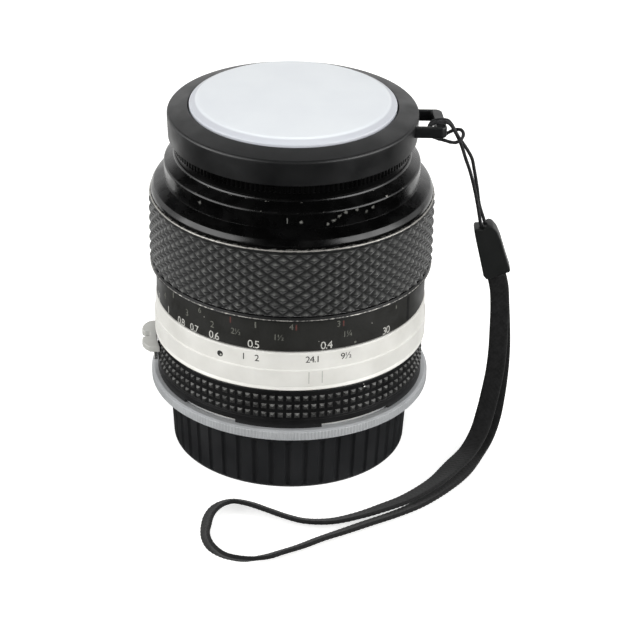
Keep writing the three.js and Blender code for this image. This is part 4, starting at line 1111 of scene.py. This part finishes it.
# Text, azimuth, height and size of each number.
SCALE_WHITE = [
    ("0.8", -52.0, 38.95, 2.6), ("0.7", -43.6, 39.1, 2.6), ("0.6", -32.9, 39.3, 2.7),
    ("0.5", -14.9, 39.35, 2.7), ("0.4", 15.3, 39.35, 2.7), ("30", 44.0, 39.2, 2.6),
    ("1", -62.5, 39.3, 2.6), ("1.2", -76.0, 39.3, 2.6), ("1.5", -94.0, 39.3, 2.6),
    ("2", -116.0, 39.3, 2.6), ("3", -140.0, 39.3, 2.6), ("5", -162.0, 39.3, 2.6),
]
SCALE_DIM = [
    ("2", -33.8, 41.95, 2.3), ("2½", -22.6, 41.8, 2.1), ("1½", -4.5, 41.7, 2.1),
    ("1¼", 24.5, 41.5, 2.1), ("4", 0.6, 44.4, 2.1), ("3", 20.3, 44.4, 2.1), ("6", -40.4, 44.4, 2.0),
    ("3", -48.0, 42.1, 2.4), ("4", -66.0, 42.1, 2.4), ("6", -98.0, 42.1, 2.4),
    ("10", -138.0, 42.1, 2.4),
]
# Azimuth, height, width and length of each stroke.
SCALE_RED_STROKES = [(-25.1, 44.6, 0.35, 1.5), (2.6, 44.4, 0.35, 1.4), (22.4, 44.4, 0.35, 1.4)]
SCALE_PALE_STROKES = [
    (-14.2, 44.4, 0.35, 1.5), (28.0, 38.9, 0.5, 0.5), (49.9, 44.0, 0.35, 0.8),
    (-58.0, 44.4, 0.35, 1.5), (-120.0, 44.4, 0.35, 1.5),
]


class LENS_OT_focus_ring(bpy.types.Operator):
    """Makes the focusing ring, its rubber grip and its distance scale"""

    bl_idname = "lens.focus_ring"
    bl_label = "Focusing ring"

    def execute(self, context):
        sleeve = 31.45
        self.ring(sleeve)
        self.grip(context.scene.lens_settings.grip_depth / MM)
        self.scale(sleeve)
        self.helicoid()
        return {"FINISHED"}

    def ring(self, sleeve):
        """The enamelled ring: a sleeve for the scale, a lip, and a seat for the grip."""
        lip, low, high = reach("focus_ring")
        seat = 31.0
        lip_low = low + 8.4
        band_low = lip_low + 0.7
        band_high = high - 0.7
        profile = [
            (28.3, low), (sleeve - 0.1, low), (sleeve, low + 0.12), (sleeve, lip_low - 0.6),
            (sleeve + 0.2, lip_low - 0.4), (lip - 0.3, lip_low - 0.3), (lip - 0.02, lip_low - 0.2),
            (lip - 0.03, lip_low - 0.05), (lip - 0.22, lip_low + 0.28),
            (lip - 0.27, band_low - 0.1), (lip - 0.35, band_low), (seat, band_low),
            (seat, band_high), (lip - 0.05, band_high), (lip, band_high + 0.15),
            (lip - 0.03, high - 0.34), (lip - 0.14, high - 0.12), (lip - 0.32, high), (30.3, high),
            (30.3, high - 2.4), (28.3, high - 2.4),
        ]
        ring = turned("focus_ring_enamelled", profile, SIDES, soft=0.06)
        edges = ((lip_low + 0.1, 0.3, 0.66), (high - 0.14, 0.32, 0.86), (low, 0.12, 0.45))
        chips = ((-38.0, sleeve, 43.2, 0.35), (12.0, sleeve, 40.6, 0.25), (36.0, sleeve, 42.6, 0.3))
        faded = ((lip_low - 0.9, "1F1F1C"),)
        name = "enamel_black_focus"
        paint = enamel(name, edges, chips, "080808", rough=0.46, sheen=0.75, faded=faded)
        dress(ring, paint, "focus_ring", "black_paint", "focus_ring")

    def helicoid(self):
        """The brass sleeve whose thread moves the optical barrel."""
        bore, root, shoulder = 26.8, 28.0, 30.0
        profile = [
            (bore, 29.7), (root, 29.7), (root, 61.7), (shoulder, 61.7), (shoulder, 62.9),
            (bore, 62.9),
        ]
        screw = turned("focus_helicoid_turned", profile, INNER_SIDES, soft=0.1)
        dress(screw, satin_metal(*BRASS), "focus_ring", "brass", "focus_helicoid")

    def grip(self, depth):
        """The rubber sleeve: a net of flat-topped pyramids in staggered rows."""
        radius, low, high = reach("focus_grip")
        margin = 0.35
        rows = ROW_STEPS * 14
        heights = np.linspace(low + 0.15, high - 0.15, rows + 1)
        profile = [(31.3, low), (radius - 0.75, low)]
        profile.extend((radius, h) for h in heights)
        profile.extend([(radius - 0.75, high), (31.3, high)])

        def pyramids(angle, r, z):
            s = angle * GRIP_ACROSS / (2 * math.pi)
            t = (z - low - margin) / GRIP_ROW
            nearest = np.full_like(r, 9.0)
            for shift in (0.0, 0.5):
                ds = np.abs((s + shift) % 1 - 0.5)
                dt = np.abs((t + shift) % 1 - 0.5)
                nearest = np.minimum(nearest, 2 * (ds + dt))
            rise = np.clip((1 - nearest) * 1.08, 0, 1)
            inside = (z > low + 0.14) & (z < high - 0.14) & (r > radius - 0.05)
            return np.where(inside, radius - depth * (1 - rise), r), z

        rubber = turned("focus_grip_rubber", profile, GRIP_ACROSS * 12, 0.02, pyramids, smooth=80.0)
        dress(rubber, nitrile(), "focus_ring", "grip_rubber", "focus_grip")

    def scale(self, sleeve):
        """Plain distance numbers, filled with paint."""
        low = reach("focus_ring")[1]
        white = filled_paint("paint_white_filled", "C9C8C2", wear=0.5)
        dim = filled_paint("paint_grey_filled", "6E6F66", wear=0.7)
        red = filled_paint("paint_red_filled", "5E2C27", wear=0.6)
        marks = (
            ("scale_numbers", wrapped_text(SCALE_WHITE, sleeve), white),
            ("scale_small_numbers", wrapped_text(SCALE_DIM, sleeve), dim),
            ("scale_red_marks", strokes(SCALE_RED_STROKES, sleeve), red),
            ("scale_pale_marks", strokes(SCALE_PALE_STROKES, sleeve), dim),
        )
        for name, shape, paint in marks:
            marked(name, shape, paint, "focus_ring")
        seam = strokes([(59.0, low + 3.3, 0.95, 6.3)], sleeve)
        dark = filled_paint("paint_black_seam", "050505", wear=0.1)
        marked("scale_seam", seam, dark, "focus_ring", "black_paint")


# Index barrel


class LENS_OT_index_barrel(bpy.types.Operator):
    """Turns the chrome index barrel with its dot and numbers"""

    bl_idname = "lens.index_barrel"
    bl_label = "Index barrel"

    def execute(self, context):
        wide, low, high = reach("index_barrel")
        step = low + 5.3
        profile = [
            (26.8, low), (wide - 0.45, low), (wide - 0.1, low + 0.15), (wide, low + 0.35),
            (wide - 0.28, low + 0.95), (wide - 0.3, low + 1.1), (wide - 0.02, low + 1.2),
            (wide, step - 0.12), (wide - 0.28, step + 0.12), (wide - 0.3, high - 0.3),
            (wide - 0.6, high), (28.4, high), (28.4, low + 1.2), (26.8, low + 1.2),
        ]
        barrel = turned("index_barrel_chromed", profile, SIDES, soft=0.06)
        dress(barrel, satin_metal(*CHROME), "mount_barrel", "satin_chrome", "index_barrel")
        upper = wide - 0.3
        ink = filled_paint("paint_black_filled", "1C1C1C", wear=0.5)
        numbers = [
            ("1", -19.1, 36.0, 2.3), ("2", -13.4, 36.0, 2.3), ("24.1", 9.6, 36.1, 2.3),
            ("9½", 24.0, 36.0, 2.3), ("3", 150.0, 36.0, 2.3), ("8", 170.0, 36.0, 2.3),
        ]
        lines = [(13.5, 31.6, 0.2, 3.0), (8.0, 31.6, 0.2, 3.0), (160.0, 31.6, 0.2, 3.0)]
        dot = disc_on_barrel(-29.8, 35.3, upper, 0.78, -0.3, 0.05)
        printed = joined([wrapped_text(numbers, upper), dot])
        marked("index_numbers", printed, ink, "mount_barrel", "black_paint")
        faint = filled_paint("paint_grey_worn", "BDBDB7", wear=0.2)
        marked("index_lines", strokes(lines, wide), faint, "mount_barrel")
        eye = disc_on_barrel(-29.4, 35.1, upper, 0.26, -0.2, 0.09)
        dress(mesh_piece("index_dot_centre", *eye, smooth=30.0), faint, "mount_barrel", "adapter_metal")
        return {"FINISHED"}


# Aperture ring

# Pads round the ring, the heights of their rows, and the gaps in the skirt as azimuths.
PAD_COUNT = 102
PAD_ROWS = (25.65, 23.45, 21.3)
PAD_SIZE = 1.3
SKIRT_GAPS = ((-50.2, -23.0), (14.0, 47.0), (150.0, 190.0))


class LENS_OT_aperture_ring(bpy.types.Operator):
    """Makes the aperture ring with its rows of pads, cut-away skirt, prong and screws"""

    bl_idname = "lens.aperture_ring"
    bl_label = "Aperture ring"

    def execute(self, context):
        settings = context.scene.lens_settings
        wide, low, high = reach("aperture_ring")
        floor = 18.95
        inside = 20.3
        face = wide - settings.pad_height / MM
        profile = [
            (28.6, inside), (30.7, inside), (30.75, floor), (wide - 0.02, floor - 0.05),
            (wide - 0.02, floor + 0.12), (wide - 0.05, floor + 1.35), (face, floor + 1.55),
            (face, high - 1.45), (face + 0.2, high - 1.3), (wide - 0.1, high - 1.2),
            (wide - 0.1, high - 0.25), (wide - 0.35, high), (28.6, high),
        ]
        ring = turned("aperture_ring_enamelled", profile, SIDES, soft=0.05)
        edges = ((high - 0.1, 0.16, 0.42), (floor, 0.1, 0.4))
        chips = ((33.0, 31.2, 27.2, 0.4),)
        paint = enamel("enamel_black_aperture", edges, chips, "0B0B0C", rough=0.4, sheen=0.6)
        dress(ring, paint, "aperture_ring", "black_paint", "aperture_ring")
        self.skirt(paint, wide, low, floor)
        self.pads(face, wide)
        dot = disc_on_barrel(33.4, 26.05, face, 0.55, -0.3, 0.55)
        screw = mesh_piece("aperture_ring_set_screw", *dot)
        dress(screw, satin_metal(*STEEL), "aperture_ring", "steel")
        self.prong()
        return {"FINISHED"}

    def skirt(self, paint, wide, low, floor):
        """The skirt below the pads, with its cut-outs."""
        section = [
            (wide - 0.55, low - 1.1), (wide - 0.1, low - 1.1), (wide - 0.02, low - 1.0),
            (wide - 0.02, floor - 0.04), (wide - 0.6, floor - 0.04),
        ]
        parts = []
        ends = [b for _, b in SKIRT_GAPS]
        starts = [a for a, _ in SKIRT_GAPS][1:] + [SKIRT_GAPS[0][0] + 360]
        for first, last in zip(ends, starts):
            parts.append(arc_points(section, first, last, max(8, int((last - first) / 2))))
        skirt = mesh_piece("aperture_ring_skirt", *joined(parts))
        dress(skirt, paint, "aperture_ring", "black_paint")

    def pads(self, face, wide):
        """Three rows of small raised pads that the finger catches."""
        parts = []
        for row in PAD_ROWS:
            for i in range(PAD_COUNT):
                parts.append(self.pad(2 * math.pi * i / PAD_COUNT, row, face - 0.1, wide + 0.02))
        marked("aperture_ring_pads", joined(parts), rubbed_toplit_enamel(), "aperture_ring", "black_paint")

    def pad(self, angle, height, low, high):
        """Points and faces of one pad: a low square foot and a sloping top."""
        points = []
        for radius, inset in ((low, 0.0), (low + 0.2, 0.05), (high, 0.42)):
            half = PAD_SIZE / 2 - inset
            for u, v in ((-half, -half), (half, -half), (half, half), (-half, half)):
                points.append(on_barrel(angle + u / radius, radius, height + v))
        return points, strip_faces(4, 2)

    def prong(self):
        """The bright fork that reaches up to a camera's coupling pin."""
        steel = satin_metal(*STEEL)
        plated = satin_metal(*NICKEL)
        middle = -86.5
        turn = Matrix.Rotation(math.radians(middle - 90), 4, "Z")
        foot, tall, half = 31.55, 3.45, 6.6
        side = [
            (math.sqrt(foot**2 - half**2), half), (foot + 0.25 * tall, half),
            (foot + 0.55 * tall, 0.94 * half), (foot + 0.8 * tall, 0.78 * half),
            (foot + 0.95 * tall, 0.6 * half), (foot + tall, 0.42 * half), (foot + tall - 0.1, 1.7),
            (foot + tall - 0.7, 1.15), (foot + tall - 1.9, 1.1),
        ]
        inner = [(math.sqrt(foot**2 - y**2), y) for y in (-half / 2, 0, half / 2)]
        outline = [*inner, *side, *[(x, -y) for x, y in reversed(side)]]
        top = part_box("coupling_prong")[1].z / MM
        fork = extruded("prong_fork", outline, top - 1.4, top, 0.18, 3, lambda co: turn @ co)
        dress(fork, plated, "aperture_ring", "steel", "coupling_prong")
        section = [
            (31.62, top - 4.8), (32.35, top - 4.8), (32.4, top - 4.7), (32.4, top - 1.3),
            (31.62, top - 1.3),
        ]
        plate = mesh_piece("prong_plate", *arc_points(section, middle - 7, middle + 7, 10))
        dress(plate, steel, "aperture_ring", "steel")
        for name in ("prong_screw_1", "prong_screw_2"):
            repaint(name, steel)


# Mount, adapter and rear cap


def three_claws(name, section, half_angle, steps):
    """Three like bayonet claws as one piece."""
    middles = (0, 120, 240)
    claws = [arc_points(section, m - half_angle, m + half_angle, steps) for m in middles]
    return mesh_piece(name, *joined(claws))


class LENS_OT_mount(bpy.types.Operator):
    """Makes the knurled adapter ring and finishes the bayonet, screws, baffle and lever"""

    bl_idname = "lens.mount"
    bl_label = "Mount and adapter"

    def execute(self, context):
        wide, low, high = reach("mount_adapter_ring")
        base = high - 2.5
        teeth = 260

        def knurl(angle, r, z):
            outer = (r > wide - 0.12) & (z > base + 0.3) & (z < high - 0.2)
            return r - np.where(outer, 0.07 * (1 - np.cos(angle * teeth)), 0), z

        profile = [
            (25.2, low), (25.2, base), (wide - 0.35, base), (wide, base + 0.3), (wide, base + 0.45),
            (wide, high - 0.55), (wide - 0.02, high - 0.35), (wide - 0.45, high - 0.12),
            (wide - 0.6, high), (30.9, high), (30.85, high - 0.5), (30.5, high - 0.5), (30.5, high),
            (22.8, high), (22.8, base), (24.2, base), (24.2, low),
        ]
        ring = turned("adapter_ring_knurled", profile, teeth * 6, 0.06, knurl, smooth=60.0)
        dress(ring, satin_metal(*ADAPTER), "mount_barrel", "adapter_metal", "mount_adapter_ring")
        section = [(25.1, 11.0), (26.2, 11.0), (26.2, 12.4), (25.1, 12.4)]
        claws = three_claws("adapter_ring_claws", section, 25, 24)
        dress(claws, satin_metal(*ADAPTER), "mount_barrel", "adapter_metal")
        repaint("bayonet_mount", satin_metal(*CHROME))
        for name in ("mount_screw_1", "mount_screw_2", "mount_screw_3", "stop_down_lever"):
            repaint(name, satin_metal(*STEEL))
        repaint("rear_baffle", black_anodised())
        repaint("guide_key", satin_metal(*BRASS))
        return {"FINISHED"}


RIBS = 45


class LENS_OT_rear_cap(bpy.types.Operator):
    """Moulds the ribbed rear cap that the lens stands on"""

    bl_idname = "lens.rear_cap"
    bl_label = "Rear cap"

    def execute(self, context):
        settings = context.scene.lens_settings
        _, low, high = reach("rear_cap")
        wide, foot, bore = 28.5, 27.6, 26.6
        depth = settings.rib_depth / MM
        groove_foot, groove_top = 0.55, 12.6

        def wall_at(z):
            return foot + (wide - foot) * z / high

        def grooves(angle, r, z):
            outer = r > wall_at(z) - 0.45
            turn = (angle * RIBS / (2 * math.pi) + 0.5) % 1 - 0.5
            across = np.clip((0.165 - np.abs(turn)) / 0.05, 0, 1)
            along = np.clip(np.minimum((groove_top - z) / 0.5, (z - groove_foot) / 0.1), 0, 1)
            return r - np.where(outer, depth * across * along, 0), z

        levels = (groove_foot, 0.65, 1.5, 3.0, 5.0, 7.0, 9.0, 11.0, 12.0, 12.2, 12.4, groove_top, 12.8)
        profile = [(0, low), (foot - 0.2, low), (foot - 0.02, low + 0.2)]
        profile.extend((wall_at(z), z) for z in levels)
        profile.extend([(wide, high - 0.5), (wide - 0.5, high), (bore + 0.2, high)])
        profile.extend([(bore, high - 0.2), (bore, 2.0), (0, 2.0)])
        cap = turned("rear_cap_moulding", profile, RIBS * 16, 0.12, grooves, smooth=50.0)
        black = moulded_abs("abs_moulded_rear_cap", "18191B", rough=0.45, dusty=0.1, sheen=0.75)
        dress(cap, black, "rear_cap", "black_plastic", "rear_cap")
        section = [(25.5, 13.2), (26.7, 13.2), (26.7, 14.5), (25.5, 14.5)]
        tabs = three_claws("rear_cap_tabs", section, 20, 20)
        dress(tabs, black, "rear_cap", "black_plastic")
        return {"FINISHED"}


# Inside

# Name, node, body and profile of each tube and cell inside.
TUBES = (
    (
        "guide_tube_turned",
        "guide_tube",
        "mount_barrel",
        ((25.5, 20.0), (28.2, 20.0), (28.2, 21.4), (26.5, 21.4), (26.5, 63.8), (25.5, 63.8)),
    ),
    (
        "name_ring_turned",
        "name_ring",
        "optical_barrel",
        (
            (26.3, 67.0), (26.3, 68.4), (21.7, 68.4), (21.5, 67.9), (20.2, 67.9), (20.0, 65.9),
            (18.6, 65.9), (18.4, 63.9), (17.0, 63.9), (16.8, 61.9), (15.4, 61.9), (15.3, 60.7),
            (16.1, 59.9), (22.3, 67.0),
        ),
    ),
    (
        "front_cell_turned",
        "front_cell",
        "optical_barrel",
        (
            (10.4, 51.0), (19.0, 51.0), (19.0, 52.0), (15.0, 52.0), (15.0, 59.9), (12.7, 59.9),
            (12.7, 55.1), (11.8, 55.1), (11.8, 52.3), (10.4, 52.3),
        ),
    ),
    (
        "rear_cell_turned",
        "rear_cell",
        "optical_barrel",
        (
            (11.9, 31.0), (14.2, 31.0), (14.2, 43.0), (19.0, 43.0), (19.0, 44.0), (11.9, 44.0),
            (11.9, 36.4), (10.5, 36.4), (10.5, 35.2), (11.9, 35.2),
        ),
    ),
)
# Name, node, radius, lower and upper height, and how far each face bulges at its middle.
LENSES = (
    ("front_glass_polished", "front_glass", 12.4, 55.1, 56.9, -0.5, 1.6),
    ("rear_glass_polished", "rear_glass", 11.6, 33.2, 35.2, 0.6, 0.6),
)


class LENS_OT_inside(bpy.types.Operator):
    """Turns the tubes, cells and glass, and finishes what stays hidden"""

    bl_idname = "lens.inside"
    bl_label = "Tubes, glass and iris"

    def execute(self, context):
        black = black_anodised()
        for name, node, body, profile in TUBES:
            tube = turned(name, profile, INNER_SIDES, soft=0.08)
            dress(tube, black, body, "black_satin", node)
        for row in LENSES:
            self.glass(*row)
        for node in ("optical_barrel", "iris_housing"):
            repaint(node, black)
        for node in ("second_glass", "third_glass", "fourth_glass"):
            repaint(node, coated_glass())
        for node in ("front_retaining_ring", "glass_spacer", "middle_retaining_ring", "rear_retaining_ring"):
            repaint(node, black_anodised("brass_blackened", 0.3))
        blades = satin_metal(*BLACKENED)
        repaint("iris_cam_ring", satin_metal(*STEEL))
        for i in range(6):
            repaint(f"iris_blade_{i + 1}", blades)
        return {"FINISHED"}

    def glass(self, name, node, radius, low, high, under, over):
        """One glass element with two curved faces and a flat rim."""
        clear = radius - 1.5
        shares = [i / 8 for i in range(9)]
        lower = [(s * clear, low - under * (1 - s**2)) for s in shares]
        upper = [(s * clear, high + over * (1 - s**2)) for s in reversed(shares)]
        profile = [*lower, (radius, low), (radius, high), *upper]
        piece = turned(name, profile, INNER_SIDES, soft=0.05)
        dress(piece, coated_glass(), "optical_barrel", "coated_glass", node)


# Panel and run

OPERATORS = (
    LENS_OT_stage,
    LENS_OT_strap,
    LENS_OT_tether,
    LENS_OT_front_cap,
    LENS_OT_front_barrel,
    LENS_OT_focus_ring,
    LENS_OT_index_barrel,
    LENS_OT_aperture_ring,
    LENS_OT_mount,
    LENS_OT_rear_cap,
    LENS_OT_inside,
)


class LENS_PT_panel(bpy.types.Panel):
    """Lists the settings and one button for each group of pieces"""

    bl_idname = "LENS_PT_panel"
    bl_label = "Prime lens"
    bl_space_type = "VIEW_3D"
    bl_region_type = "UI"
    bl_category = "Lens"

    def draw(self, context):
        settings = context.scene.lens_settings
        for name in LensSettings.__annotations__:
            self.layout.prop(settings, name)
        for operator in OPERATORS:
            self.layout.operator(operator.bl_idname)


def register():
    bpy.utils.register_class(LensSettings)
    for operator in OPERATORS:
        bpy.utils.register_class(operator)
    bpy.utils.register_class(LENS_PT_panel)
    bpy.types.Scene.lens_settings = bpy.props.PointerProperty(type=LensSettings)


def unregister():
    del bpy.types.Scene.lens_settings
    bpy.utils.unregister_class(LENS_PT_panel)
    for operator in reversed(OPERATORS):
        bpy.utils.unregister_class(operator)
    bpy.utils.unregister_class(LensSettings)


def main():
    """Builds the lens group by group."""
    register()
    for operator in OPERATORS:
        group, name = operator.bl_idname.split(".")
        getattr(getattr(bpy.ops, group), name)()


if __name__ == "__main__":
    main()
